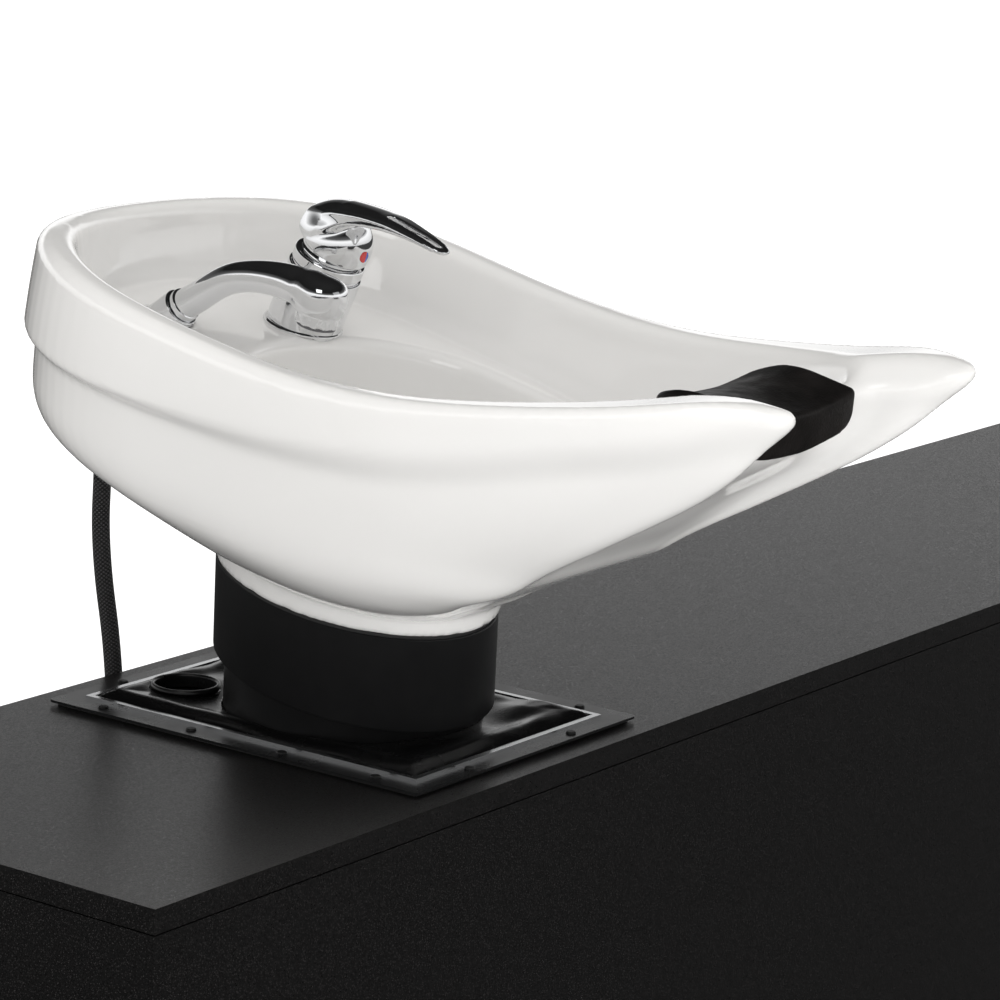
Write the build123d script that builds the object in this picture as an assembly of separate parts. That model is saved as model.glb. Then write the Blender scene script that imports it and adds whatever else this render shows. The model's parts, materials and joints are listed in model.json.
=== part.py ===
from build123d import *
import os
from math import acos, cos, hypot, pi, radians, sin, tan

os.makedirs("parts", exist_ok=True)

# A tilting hair washing basin on a long black cabinet, drawn in millimetres.
# The client sits in front, towards -Y. +X runs to the right along the cabinet, +Z is up.
# The origin is on the floor, in the middle of the cabinet's footprint.

# Cabinet boards
cabinet_length = 1960.0
cabinet_depth = 402.0
cabinet_height = 640.0
board = 18.0
plinth_height = 80.0
plinth_recess = 40.0
basin_from_left = 460.0
divider_gap = 470.0
seam = 1.0
door_width = 420.0
door_gap = 2.0
hinge_height_share = 0.18

# Door fittings
hinge_length = 60.0
hinge_leaf_width = 28.0
hinge_leaf = 1.6
hinge_pin_radius = 2.5
hinge_wall = 1.4
knob_radius = 14.0
knob_length = 22.0
knob_stem_radius = 6.0
knob_edge = 3.0
catch_size = 24.0

# Screws
screw_radius = 2.5
screw_head_radius = 4.0
screw_head = 1.6

# Mounting frame, splash skirt and hose ring on the cabinet's top
frame_width = 288.0
frame_depth = 357.0
frame_thick = 2.0
frame_border_x = 23.0
frame_border_y = 18.0
frame_corner = 4.0
gasket_thick = 1.0
gasket_inset = 4.0
strip_width = 5.0
strip_rise = 2.0
skirt_thick = 1.2
skirt_rise = 10.0
skirt_shoulder = 12.0
skirt_corner = 14.0
hose_ring_x = -55.0
hose_ring_y = 115.0
hose_ring_radius = 28.0
hose_ring_bore = 24.0
hose_ring_lip = 1.8

# Fixed tube, tilt axle and brake
tube_radius = 101.0
tube_wall = 3.0
tube_top = 66.0
axle_y = -8.5
axle_height = 37.5
base_plate_width = 300.0
base_plate_thick = 5.0
base_plate_corner = 10.0
cheek_thick = 6.0
cheek_width = 46.0
axle_radius = 8.0
axle_head_radius = 12.0
axle_head = 4.0
axle_clearance = 0.05
bush_wall = 2.5
arm_thick = 6.0
arm_width = 34.0
arm_spread = 74.0
disc_radius = 19.0
disc_thick = 8.0
bolt_radius = 4.0
bolt_head_radius = 7.0
bolt_head = 4.0
bolt_clearance = 0.3
bolt_circle = 124.0
bolt_end = 2.0
nut_height = 6.0
tilt_rest = 12.5
rail_height = 60.0

# Running gap between pieces on different bodies, and overrun for cuts
gap = 0.3
over = 5.0

# Sleeve and carrier under the basin, in the basin's own axes: origin at the axle
sleeve_radius = 110.0
sleeve_wall = 2.2
sleeve_length = 70.0
carrier_thick = 6.0
carrier_hole = 46.0
carrier_bolt_circle = 72.0
carrier_bolt_reach = 10.0
foot_gasket = 2.0
foot_gasket_width = 9.0

# Basin shell, in the basin's own axes: p to the back, q up, x to the right
foot_radius = 113.0
foot_height = 20.0
groove_depth = 1.2
groove_width = 2.4
basin_half_width = 207.0
basin_back = 314.0
basin_front = 384.0
rim_height = 283.0
horn_height = 386.0
notch_low = 328.5
notch_radius = 271.5
notch_half = 80.0
horn_half = 132.0
horn_rise = 66.0
band_step = 10.0
wall = 17.0
deck_height = 222.0
deck_thick = 14.0
well_half_width = 128.0
well_back = 131.0
well_floor_share = 0.254
cavity_low = 152.0
cavity_half = 168.0
cavity_front = 136.0
cavity_back = 281.0
hatch_half = 82.0
hatch_front = 175.0
hatch_back = 270.0
hatch_corner = 14.0
pocket_radius = 41.0

# Drain
drain_radius = 21.0
drain_flange_radius = 34.0
drain_flange = 3.0
drain_bore = 17.0
drain_tail = 108.0
drain_nut_radius = 34.0
drain_nut = 9.0
drain_gasket = 2.0
strainer_radius = 27.0
strainer_thick = 2.0
strainer_dome = 6.0
strainer_hole = 2.2
strainer_holes = 10
strainer_hole_circle = 13.0
strainer_skirt = 7.0
strainer_play = 0.4
strainer_knob_radius = 4.0
strainer_knob = 5.0

# Waste: an open cup that catches the swinging drain tail, and a bottle trap
cup_radius = 40.0
cup_wall = 2.5
cup_over_top = 6.0
cup_flange_radius = 54.0
cup_flange = 3.0
cup_depth = 74.0
cup_neck_radius = 20.0
cup_neck = 60.0
trap_radius = 34.0
trap_wall = 3.0
trap_height = 96.0
trap_lid = 10.0
trap_outlet_radius = 16.0
trap_nut_radius = 26.0
trap_nut = 14.0
wall_rosette_radius = 30.0
wall_rosette = 3.0

# Mixer tap, standing on the deck and leaning over the basin
tap_x = 52.0
tap_p = 155.0
tap_lean = 11.0
tap_radius = 30.0
tap_length = 49.0
tap_foot_radius = 32.0
tap_foot = 3.0
tap_ring_radius = 28.0
tap_ring = 2.5
tap_neck_radius = 29.0
tap_neck = 9.5
tap_ball_radius = 25.5
tap_ball_high = 75.5
hood_wall = 3.2
hood_pin_radius = 2.9
hood_pin_bore = 3.0
hood_pin_inner = 22.0
hood_pin_outer = 27.0
hood_front_drop = 9.0
hood_back_rise = 2.5
tap_dot_radius = 4.5
tap_dot = 1.0
tap_stud_radius = 12.0
tap_stud = 36.0
tap_nut_radius = 19.0
tap_nut = 8.0
tap_washer = 2.0
inlet_radius = 4.5
inlet_length = 18.0
inlet_spread = 5.6
lever_reach = 97.0
lever_width = 40.0
lever_tip_width = 18.0
lever_thick = 5.0
lever_rise = 50.0
lever_root_high = 25.0
lever_bend_reach = 45.0
lever_bend_rise = 45.0
lever_slot_length = 44.0
lever_slot_width = 7.0
lever_slot_end = 8.0

# Hand shower, in a socket on the deck
shower_x = -55.0
socket_p = 206.0
socket_lean = 42.0
socket_radius = 15.5
socket_bore = 11.1
socket_height = 18.0
socket_below = 24.0
socket_flange_radius = 22.0
socket_flange = 3.0
socket_nut_radius = 24.0
socket_nut = 7.0
handle_radius = 12.0
handle_tail_radius = 11.0
handle_collar = 24.0
handle_collar_radius = 13.5
handle_mid_p = 138.0
handle_mid_q = 281.0
handle_far_p = 98.0
handle_far_q = 291.0
head_p = 66.0
head_q = 289.0
head_low = 269.0
head_high = 304.0
head_radius = 18.5
head_edge = 7.0
rose_radius = 15.0
rose_height = 3.0
rose_sunk = 1.5
nozzle_radius = 1.2
nozzle_height = 1.5
nozzle_circle = 9.0
nozzles = 8
tail_reach = 48.0
tail_nut_radius = 10.0
tail_nut = 12.0

# Shower hose: its lie behind the cabinet and its union in the rear board
hose_radius = 7.2
union_height = 370.0
union_radius = 11.0
union_leg_radius = 9.0
union_length = 30.0
union_flange_radius = 22.0
union_flange = 1.0
union_nut_radius = 14.0
union_nut = 8.0

# Neck rest over the notch, drawn in the side view and turned about the notch's own axis
rest_half_angle = 18.5
rest_half_width = 76.0
rest_thick = 9.4
rest_inner_p = 238.0
rest_inner_drop = 13.0
rest_lip_p = 270.0
rest_plan_corner = 26.0
rest_fold_p = 313.5
rest_flap_low = 305.0
rest_flap = 8.0
rest_round = 3.5

# Places that follow from the sizes above
basin_x = basin_from_left - cabinet_length / 2
top_z = cabinet_height
under_top = cabinet_height - board
front_y = -cabinet_depth / 2
rear_y = cabinet_depth / 2
inner_rear_y = rear_y - board
skirt_z = top_z + gasket_thick
cheek_x = arm_spread + arm_thick + disc_thick
foot_q = sleeve_length + foot_gasket
foot_p = sleeve_length * tan(radians(tilt_rest))
well_floor = horn_height * well_floor_share


def block(size_x, size_y, size_z, x=0.0, y=0.0, z=0.0):
    """A box centred on x and y that stands on z."""
    return Pos(x, y, z) * Box(size_x, size_y, size_z, align=(Align.CENTER, Align.CENTER, Align.MIN))


def rod(radius, length, x=0.0, y=0.0, z=0.0):
    """A round bar that stands on z."""
    return Pos(x, y, z) * Cylinder(radius, length, align=(Align.CENTER, Align.CENTER, Align.MIN))


def rod_x(radius, length, x, y, z):
    """A round bar from x towards +X."""
    return Pos(x, y, z) * Rot(0, 90, 0) * Cylinder(radius, length, align=(Align.CENTER, Align.CENTER, Align.MIN))


def rod_y(radius, length, x, y, z):
    """A round bar from y towards +Y."""
    return Pos(x, y, z) * Rot(-90, 0, 0) * Cylinder(radius, length, align=(Align.CENTER, Align.CENTER, Align.MIN))


def pipe(radius, wall_size, length, x=0.0, y=0.0, z=0.0):
    """A round tube that stands on z."""
    return rod(radius, length, x, y, z) - rod(radius - wall_size, length + 2 * over, x, y, z - over)


def save(name, *solids):
    """Write one node; its solids stay separate."""
    shapes = []
    for solid in solids:
        shapes += list(solid.solids())
    shape = Compound(children=shapes) if len(shapes) > 1 else shapes[0]
    export_step(shape, "parts/" + name + ".step")


# Where the basin's own axes lie in the room, at rest
basin_place = Pos(basin_x, axle_y, top_z + axle_height) * Rot(tilt_rest, 0, 0)


def in_room(shape):
    """Carry a shape from the basin's own axes to the room."""
    return basin_place * shape


def room_point(x, p, q):
    """A point of the basin's own axes, in the room."""
    c, s = cos(radians(tilt_rest)), sin(radians(tilt_rest))
    return (basin_x + x, axle_y + p * c - q * s, top_z + axle_height + p * s + q * c)


# Cabinet


def make_cabinet_top():
    top = block(cabinet_length, cabinet_depth, board, z=under_top)
    top -= rod(tube_radius + 2 * gap, board + 2 * over, basin_x, axle_y, under_top - over)
    top -= rod(hose_ring_bore, board + 2 * over, basin_x + hose_ring_x, hose_ring_y, under_top - over)
    for x, y in base_bolt_places():
        top -= rod(bolt_radius + bolt_clearance, board + 2 * over, x, y, under_top - over)
    return top


def base_bolt_places():
    reach = bolt_circle * cos(pi / 4)
    return [(basin_x + i * reach, axle_y + j * reach) for i in (-1, 1) for j in (-1, 1)]


def make_front_panel():
    height = under_top - plinth_height - seam
    return block(cabinet_length, board, height, y=front_y + board / 2, z=plinth_height)


def make_end_panel(side):
    height = under_top - plinth_height - seam
    x = side * (cabinet_length - board) / 2
    return block(board, cabinet_depth - board, height, x=x, y=board / 2, z=plinth_height)


inner_left = -cabinet_length / 2 + board
inner_right = cabinet_length / 2 - board
door_left = basin_x + 210.0
door_right = door_left + door_width + 2 * door_gap
divider_x = [door_right + board / 2 + k * divider_gap for k in range(2)]
carcass_depth = cabinet_depth - 2 * board


def make_bottom_panel():
    width = inner_right - inner_left
    return block(width, carcass_depth, board, z=plinth_height)


def make_dividers():
    height = under_top - plinth_height - board - seam
    return [block(board, carcass_depth, height, x=x, z=plinth_height + board) for x in divider_x]


def make_rails():
    """Two rails under the top, between the end panel and the first divider."""
    width = divider_x[0] - board / 2 - inner_left
    middle = inner_left + width / 2
    y = (carcass_depth - board) / 2
    low = under_top - rail_height
    return [block(width, board, rail_height, x=middle, y=side * y, z=low) for side in (-1, 1)]


def make_plinth():
    length = cabinet_length - 2 * plinth_recess
    depth = cabinet_depth - 2 * plinth_recess
    boards = [block(length, board, plinth_height, y=side * (depth - board) / 2) for side in (-1, 1)]
    cross = depth - 2 * board
    for x in (-(length - board) / 2, 0.0, (length - board) / 2):
        boards.append(block(board, cross, plinth_height, x=x))
    return boards


def rear_board(left, right):
    """A fixed rear board between two places along X."""
    height = under_top - plinth_height - seam
    return block(right - left, board, height, x=(left + right) / 2, y=rear_y - board / 2, z=plinth_height)


def make_rear_panel_left():
    panel = rear_board(inner_left, door_left)
    drill = board + 2 * over
    panel -= rod_y(union_leg_radius + gap, drill, hose_up_x, inner_rear_y - over, union_height)
    panel -= rod_y(trap_outlet_radius + gap, drill, basin_x, inner_rear_y - over, trap_outlet_z)
    return panel


trap_top = under_top + cup_flange - cup_depth - cup_neck
trap_outlet_z = trap_top - trap_lid - trap_outlet_radius - trap_wall


def make_rear_panel_right():
    return rear_board(door_right, inner_right)


def make_rear_screws():
    """Screws that hold the fixed rear boards."""
    heights = (plinth_height + board / 2, under_top - rail_height / 2)
    places = (inner_left + 2 * board, door_left - 2 * board, divider_x[0] + board, divider_x[1], inner_right - 2 * board)
    return [rod_y(screw_head_radius, screw_head, x, rear_y, z) for x in places for z in heights]


def make_service_door():
    height = under_top - plinth_height - seam - 2 * door_gap
    x = (door_left + door_right) / 2
    door = block(door_width, board, height, x=x, y=rear_y - board / 2, z=plinth_height + door_gap)
    return door


hinge_axis_x = door_right - door_gap / 2
hinge_axis_y = rear_y + hinge_pin_radius + hinge_wall
hinge_knuckle = hinge_pin_radius + hinge_wall


def hinge_heights():
    height = under_top - plinth_height
    return [plinth_height + height * share for share in (hinge_height_share, 1 - hinge_height_share)]


def knuckle(low, length):
    """One rolled eye of a hinge, round the pin."""
    eye = rod(hinge_knuckle, length, hinge_axis_x, hinge_axis_y, low)
    return eye - rod(hinge_pin_radius + axle_clearance, length + 2 * over, hinge_axis_x, hinge_axis_y, low - over)


def hinge_leaf_at(side, low, length):
    """A flat leaf beside the pin, screwed on the rear face; side +1 is the fixed one."""
    width = hinge_leaf_width - hinge_knuckle
    x = hinge_axis_x + side * (hinge_knuckle / 2 + width / 2 + door_gap / 4)
    leaf = block(width, hinge_leaf, length, x=x, y=rear_y + hinge_leaf / 2, z=low)
    web = block(hinge_knuckle, hinge_leaf, length, x=hinge_axis_x + side * hinge_knuckle * 0.75,
                y=rear_y + hinge_leaf / 2, z=low)
    return leaf + web


def make_fixed_leaves():
    leaves = []
    part = hinge_length / 3
    for z in hinge_heights():
        low = z - hinge_length / 2
        leaf = knuckle(low, part - gap) + knuckle(low + 2 * part + gap, part - gap)
        leaf += hinge_leaf_at(1, low, part - gap) + hinge_leaf_at(1, low + 2 * part + gap, part - gap)
        x = hinge_axis_x + hinge_knuckle + (hinge_leaf_width - hinge_knuckle) / 2
        leaf += block(hinge_leaf_width - 2 * hinge_knuckle, hinge_leaf, hinge_length, x=x,
                      y=rear_y + hinge_leaf / 2, z=low)
        leaves.append(leaf)
    return leaves


def make_door_leaves():
    leaves = []
    part = hinge_length / 3
    for z in hinge_heights():
        low = z - part / 2
        leaf = knuckle(low, part) + hinge_leaf_at(-1, low, part)
        x = hinge_axis_x - hinge_knuckle - (hinge_leaf_width - hinge_knuckle) / 2
        leaf += block(hinge_leaf_width - 2 * hinge_knuckle, hinge_leaf, hinge_length, x=x,
                      y=rear_y + hinge_leaf / 2, z=z - hinge_length / 2)
        leaves.append(leaf)
    return leaves


def make_hinge_pins():
    return [rod(hinge_pin_radius, hinge_length, hinge_axis_x, hinge_axis_y, z - hinge_length / 2)
            for z in hinge_heights()]


knob_x = door_left + 3 * knob_radius
knob_z = plinth_height + (under_top - plinth_height) * 0.72


def make_door_knob():
    stem = rod_y(knob_stem_radius, knob_length, knob_x, rear_y, knob_z)
    cap = rod_y(knob_radius, knob_length / 2, knob_x, rear_y + knob_length / 2, knob_z)
    cap = fillet(cap.edges().filter_by(GeomType.CIRCLE), knob_edge)
    return stem + cap


def make_door_catch():
    """A magnetic catch under the rear rail, which the door closes on."""
    x = door_left + 2 * catch_size
    y = inner_rear_y - catch_size / 2
    return block(catch_size, catch_size, catch_size / 2, x=x, y=y, z=under_top - rail_height - catch_size / 2)


# Fittings on the cabinet's top


def rounded_plate(width, depth, thick, corner, z):
    plate = block(width, depth, thick, x=basin_x, z=z)
    return fillet(plate.edges().filter_by(Axis.Z), corner)


open_width = frame_width - 2 * frame_border_x
open_depth = frame_depth - 2 * frame_border_y


def make_frame_gasket():
    outer = rounded_plate(frame_width - 2 * gasket_inset, frame_depth - 2 * gasket_inset, gasket_thick,
                          frame_corner, top_z)
    inner = block(open_width, open_depth, gasket_thick + 2 * over, x=basin_x, z=top_z - over)
    return outer - inner


def make_mounting_frame():
    plate = rounded_plate(frame_width, frame_depth, frame_thick, frame_corner, skirt_z + skirt_thick)
    plate -= block(open_width, open_depth, frame_thick + 2 * over, x=basin_x, z=skirt_z)
    for x, y in frame_screw_places():
        plate -= rod(screw_radius + gap / 2, frame_thick + 2 * over, x, y, skirt_z)
    return plate


frame_top = skirt_z + skirt_thick + frame_thick


def frame_screw_places():
    places = []
    side = (frame_width - frame_border_x) / 2
    end = (frame_depth - frame_border_y) / 2
    for i in (-1, 1):
        for share in (-0.78, -0.26, 0.26, 0.78):
            places.append((basin_x + i * side, end * share))
        for share in (-0.5, 0.5):
            places.append((basin_x + side * share, i * end))
    return places


def make_frame_screws():
    screws = []
    for x, y in frame_screw_places():
        head = rod(screw_head_radius, screw_head, x, y, frame_top)
        head = fillet(head.edges().filter_by(GeomType.CIRCLE).sort_by(Axis.Z)[-1], screw_head * 0.7)
        screws.append(head + rod(screw_radius, frame_thick, x, y, frame_top - frame_thick))
    return screws


def make_bright_strip():
    outer = block(open_width, open_depth, frame_thick + strip_rise, x=basin_x, z=skirt_z + skirt_thick)
    inner = block(open_width - 2 * strip_width, open_depth - 2 * strip_width, frame_thick + strip_rise + 2 * over,
                  x=basin_x, z=skirt_z)
    return outer - inner


def skirt_body(inset, lift):
    """The crowned body of the splash skirt; inset and lift make its hollow underside."""
    levels = ((0.0, -strip_width), (0.55, -0.25 * skirt_shoulder - strip_width), (1.0, -skirt_shoulder - strip_width))
    sections = []
    for height_share, margin in levels:
        width = open_width + 2 * margin - 2 * inset
        depth = open_depth + 2 * margin - 2 * inset
        z = skirt_z + lift + skirt_rise * height_share
        sections.append(Pos(basin_x, 0, z) * RectangleRounded(width, depth, skirt_corner))
    return loft(sections, ruled=True)


def make_splash_skirt():
    skirt = skirt_body(0.0, skirt_thick) - skirt_body(skirt_thick, 0.0)
    border = rounded_plate(frame_width - 2 * gasket_inset, frame_depth - 2 * gasket_inset, skirt_thick,
                           frame_corner, skirt_z)
    border -= block(open_width - 2 * strip_width - 2 * skirt_thick, open_depth - 2 * strip_width - 2 * skirt_thick,
                    skirt_thick + 2 * over, x=basin_x, z=skirt_z - over)
    skirt += border
    tall = skirt_rise + skirt_thick + 2 * over
    skirt -= rod(tube_radius + gap, tall, basin_x, axle_y, skirt_z - over)
    skirt -= rod(hose_ring_bore, tall, basin_x + hose_ring_x, hose_ring_y, skirt_z - over)
    return skirt


skirt_top = skirt_z + skirt_thick + skirt_rise


def make_hose_ring():
    """A lipped ring that lines the hole for the supply hoses."""
    x, y = basin_x + hose_ring_x, hose_ring_y
    low = under_top
    collar = rod(hose_ring_bore, skirt_top - low, x, y, low)
    lip = rod(hose_ring_radius, hose_ring_lip, x, y, skirt_top)
    lip = fillet(lip.edges().filter_by(GeomType.CIRCLE).sort_by(Axis.Z)[-1], hose_ring_lip * 0.8)
    return collar + lip - rod(hose_ring_bore - hose_ring_lip, board + 6 * over, x, y, low - over)


# Tube, axle and tilt gear


def make_base_plate():
    """The steel plate that is bolted up against the cabinet's top."""
    z = under_top - base_plate_thick
    depth = carcass_depth - 2 * board - 2 * seam
    plate = rounded_plate(base_plate_width, depth, base_plate_thick, base_plate_corner, z)
    plate -= rod(cup_radius, base_plate_thick + 2 * over, basin_x, axle_y, z - over)
    plate -= rod(hose_ring_bore, base_plate_thick + 2 * over, basin_x + hose_ring_x, hose_ring_y, z - over)
    for x, y in base_bolt_places():
        plate -= rod(bolt_radius + bolt_clearance, base_plate_thick + 2 * over, x, y, z - over)
    return plate


def make_base_bolts():
    bolts = []
    shank = board + base_plate_thick + nut_height + bolt_end
    for x, y in base_bolt_places():
        head = rod(bolt_head_radius, bolt_head, x, y, top_z)
        bolts.append(head + rod(bolt_radius, shank, x, y, top_z - shank))
    return bolts


def hex_nut(radius, height, bore, x, y, z):
    nut = Pos(x, y, z) * extrude(RegularPolygon(radius, 6), height)
    return nut - rod(bore, height + 2 * over, x, y, z - over)


def make_base_nuts():
    z = under_top - base_plate_thick - nut_height
    return [hex_nut(bolt_head_radius, nut_height, bolt_radius, x, y, z) for x, y in base_bolt_places()]


def make_base_tube():
    height = board + tube_top
    return pipe(tube_radius, tube_wall, height, basin_x, axle_y, under_top)


def make_axle_cheeks():
    """Two plates inside the tube that carry the stub axles."""
    cheeks = []
    low = under_top
    axle_z = top_z + axle_height
    for side in (-1, 1):
        x = basin_x + side * (cheek_x + cheek_thick / 2)
        straight = block(cheek_thick, cheek_width, axle_z - low, x=x, y=axle_y, z=low)
        crown = rod_x(cheek_width / 2, cheek_thick, x - cheek_thick / 2, axle_y, axle_z)
        cheek = straight + crown
        cheek -= rod_x(axle_radius, cheek_thick + 2 * over, x - cheek_thick / 2 - over, axle_y, axle_z)
        room = rod(tube_radius - tube_wall, axle_z + cheek_width - low, basin_x, axle_y, low)
        cheeks.append(cheek & room)
    return cheeks


def make_stub_axles():
    """Headed pins through the arms and the cheeks, one each side."""
    axles = []
    axle_z = top_z + axle_height
    inner = arm_spread - gap
    length = cheek_x + cheek_thick - inner
    for side in (-1, 1):
        start = basin_x + (inner if side > 0 else -inner - length)
        axle = rod_x(axle_radius, length, start, axle_y, axle_z)
        head_start = basin_x + (inner - axle_head if side > 0 else -inner)
        axle += rod_x(axle_head_radius, axle_head, head_start, axle_y, axle_z)
        axles.append(axle)
    return axles


def make_friction_discs():
    """Brake discs on the stub axles, between each arm and its cheek."""
    discs = []
    axle_z = top_z + axle_height
    inner = arm_spread + arm_thick + gap
    for side in (-1, 1):
        start = basin_x + (inner if side > 0 else -cheek_x)
        disc = rod_x(disc_radius, cheek_x - inner, start, axle_y, axle_z)
        discs.append(disc - rod_x(axle_radius, cheek_x, start - over, axle_y, axle_z))
    return discs


# Carrier and sleeve, in the basin's own axes


def upright_slice(radius, low, high):
    """A bar that stands upright in the room, cut off by two levels of the basin's own axes."""
    long = 4 * sleeve_length
    bar = Rot(-tilt_rest, 0, 0) * rod(radius, 2 * long, 0, 0, -long)
    return bar & block(4 * sleeve_radius, 4 * sleeve_radius, high - low, z=low)


def make_tilt_sleeve():
    outer = upright_slice(sleeve_radius, 0, sleeve_length)
    return outer - upright_slice(sleeve_radius - sleeve_wall, -over, sleeve_length + over)


def make_carrier():
    """The plate under the foot with its two arms."""
    low = sleeve_length - carrier_thick
    plate = upright_slice(sleeve_radius - sleeve_wall, low, sleeve_length)
    plate -= rod(carrier_hole, board + 4 * over, 0, 0, low - over)
    for x, y in carrier_bolt_places():
        plate -= rod(bolt_radius + bolt_clearance, carrier_thick + 2 * over, x, y, low - over)
    for side in (-1, 1):
        x = side * (arm_spread + arm_thick / 2)
        arm = block(arm_thick, arm_width, low, x=x, z=0)
        arm += rod_x(arm_width / 2, arm_thick, x - arm_thick / 2, 0, 0)
        arm -= rod_x(axle_radius + bush_wall, arm_thick + 2 * over, x - arm_thick / 2 - over, 0, 0)
        plate += arm
    return plate


def make_bushes():
    bushes = []
    for side in (-1, 1):
        start = side * (arm_spread + arm_thick / 2) - arm_thick / 2
        bush = rod_x(axle_radius + bush_wall, arm_thick, start, 0, 0)
        bushes.append(bush - rod_x(axle_radius + axle_clearance, arm_thick + 2 * over, start - over, 0, 0))
    return bushes


def carrier_bolt_places():
    reach = carrier_bolt_circle * cos(pi / 4)
    return [(i * reach, foot_p + j * reach) for i in (-1, 1) for j in (-1, 1)]


def make_carrier_bolts():
    bolts = []
    low = sleeve_length - carrier_thick
    reach = carrier_thick + foot_gasket + carrier_bolt_reach
    for x, y in carrier_bolt_places():
        bolts.append(rod(bolt_head_radius, bolt_head, x, y, low - bolt_head) + rod(bolt_radius, reach, x, y, low))
    return bolts


def make_foot_gasket():
    gasket = pipe(sleeve_radius, foot_gasket_width, foot_gasket, 0, foot_p, sleeve_length)
    inner = pipe(pocket_radius + foot_gasket_width, foot_gasket_width, foot_gasket, 0, 0, sleeve_length)
    return [gasket, inner]


# Basin shell
# Each level: height, then shares of the half width, the back and the front reach, the corner's half width as a
# share of the half width, the middle of the front as a share of its corners, the widest place as a share of the
# back reach, and how square the flank is, from a circle at nought to the rim's own curve at one
outer_levels_shares = (
    (0.233, 0.560, 0.420, 0.262, 0.25, 1.00, 0.05, 0.0),
    (0.267, 0.700, 0.600, 0.290, 0.40, 1.00, 0.09, 0.3),
    (0.306, 0.820, 0.790, 0.335, 0.50, 1.00, 0.17, 0.6),
    (0.345, 0.905, 0.930, 0.384, 0.53, 1.00, 0.28, 0.8),
    (0.389, 0.945, 0.980, 0.450, 0.52, 1.00, 0.36, 0.9),
    (0.453, 0.965, 0.997, 0.520, 0.50, 0.98, 0.38, 1.0),
    (0.531, 0.982, 1.000, 0.608, 0.50, 0.95, 0.39, 1.0),
    (0.648, 1.000, 1.000, 0.744, 0.50, 0.913, 0.39, 1.0),
    (0.777, 1.000, 1.000, 0.880, 0.52, 0.889, 0.39, 1.0),
    (0.894, 1.000, 1.000, 0.968, 0.55, 0.80, 0.39, 1.0),
    (1.060, 1.000, 1.000, 1.005, 0.56, 0.76, 0.39, 1.0),
)
flank_shares = (0.14, 0.28, 0.42, 0.56, 0.69, 0.80, 0.89, 0.95, 0.985)
front_shares = (0.97, 0.90, 0.80, 0.66, 0.45, 0.22)
front_power = 8.0
back_turns_shares = (0.20, 0.40, 0.60, 0.80)


def outline(half, back, front, corner_share, middle_share, widest_share, square_share):
    """One level of the shell: half an ellipse at the back, drawn-in flanks and a front between two corners."""
    widest = back * widest_share
    corner = half * corner_share
    middle = front * middle_share
    flank_power = 2.0 + 1.3 * square_share
    end_power = 0.5 + 0.3 * square_share
    right = []
    for turn in back_turns_shares:
        angle = turn * pi / 2
        right.append((half * sin(angle), widest + (back - widest) * cos(angle)))
    right.append((half, widest))
    for run in flank_shares:
        x = corner + (half - corner) * (1 - run ** flank_power) ** end_power
        right.append((x, widest - (front + widest) * run))
    for share in front_shares:
        x = corner * share
        right.append((x, -(middle + (front - middle) * share ** front_power)))
    left = [(-x, y) for x, y in reversed(right)]
    points = [(0, back)] + right + [(0, -middle)] + left
    return make_face(Spline(*points, periodic=True))


def body(levels_shares, half, back, front, margin):
    """A smooth body through its levels, grown sideways by a margin."""
    sections = []
    for level, wide, rear, nose, corner, middle, widest, square in levels_shares:
        face = outline(half * wide + margin, back * rear + margin, front * nose + margin, corner, middle, widest, square)
        sections.append(Pos(0, 0, horn_height * level) * face)
    return loft(sections)


# The inside: a broad dish above the deck, and a deep well below it
dish_levels_shares = (
    (0.575, 0.797, 0.885, 0.480, 0.50, 1.00, 0.39, 1.0),
    (0.648, 0.865, 0.930, 0.560, 0.50, 0.99, 0.39, 1.0),
    (0.733, 0.915, 0.952, 0.660, 0.49, 0.98, 0.39, 1.0),
    (0.820, 0.925, 0.958, 0.745, 0.47, 0.945, 0.39, 1.0),
    (0.910, 0.925, 0.958, 0.800, 0.45, 0.886, 0.39, 1.0),
    (1.070, 0.925, 0.958, 0.820, 0.44, 0.865, 0.39, 1.0),
)
well_levels_shares = (
    (well_floor_share, 0.40, 0.40, 0.125, 0.30, 1.00, 0.05, 0.2),
    (0.290, 0.58, 0.58, 0.185, 0.40, 1.00, 0.08, 0.6),
    (0.370, 0.80, 0.83, 0.300, 0.48, 1.00, 0.10, 0.9),
    (0.470, 0.93, 0.95, 0.400, 0.50, 1.00, 0.12, 1.0),
    (0.583, 1.00, 1.00, 0.488, 0.52, 1.00, 0.14, 1.0),
)


def inside():
    dish = body(dish_levels_shares, basin_half_width, basin_back, basin_front, 0.0)
    well = body(well_levels_shares, well_half_width, well_back, basin_front, 0.0)
    return dish + well


def curved_cut(points, ceiling):
    """Everything above a smooth line in the side view, across the whole width."""
    far = basin_half_width * 3
    start, end = points[0], points[-1]
    line = Spline(*points)
    closing = Polyline(end, (end[0], ceiling), (start[0], ceiling), start)
    face = make_face(Curve() + [line, closing])
    return Pos(far / 2, 0, 0) * extrude(Plane.YZ * face, far, dir=(-1, 0, 0))


def rim_line():
    """The rim in the side view: level at the back, sweeping up to the horns."""
    reach = basin_front
    rise = horn_height - rim_height
    return [
        (basin_back + 4 * over + wall, rim_height - rise * 0.20),
        (basin_back * 0.90, rim_height - rise * 0.04),
        (basin_back * 0.60, rim_height),
        (0.0, rim_height - rise * 0.01),
        (-reach * 0.28, rim_height + rise * 0.135),
        (-reach * 0.50, rim_height + rise * 0.37),
        (-reach * 0.74, rim_height + rise * 0.69),
        (-reach * 0.90, rim_height + rise * 0.905),
        (-reach - 4 * over - wall, rim_height + rise * 0.94),
    ]


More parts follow.
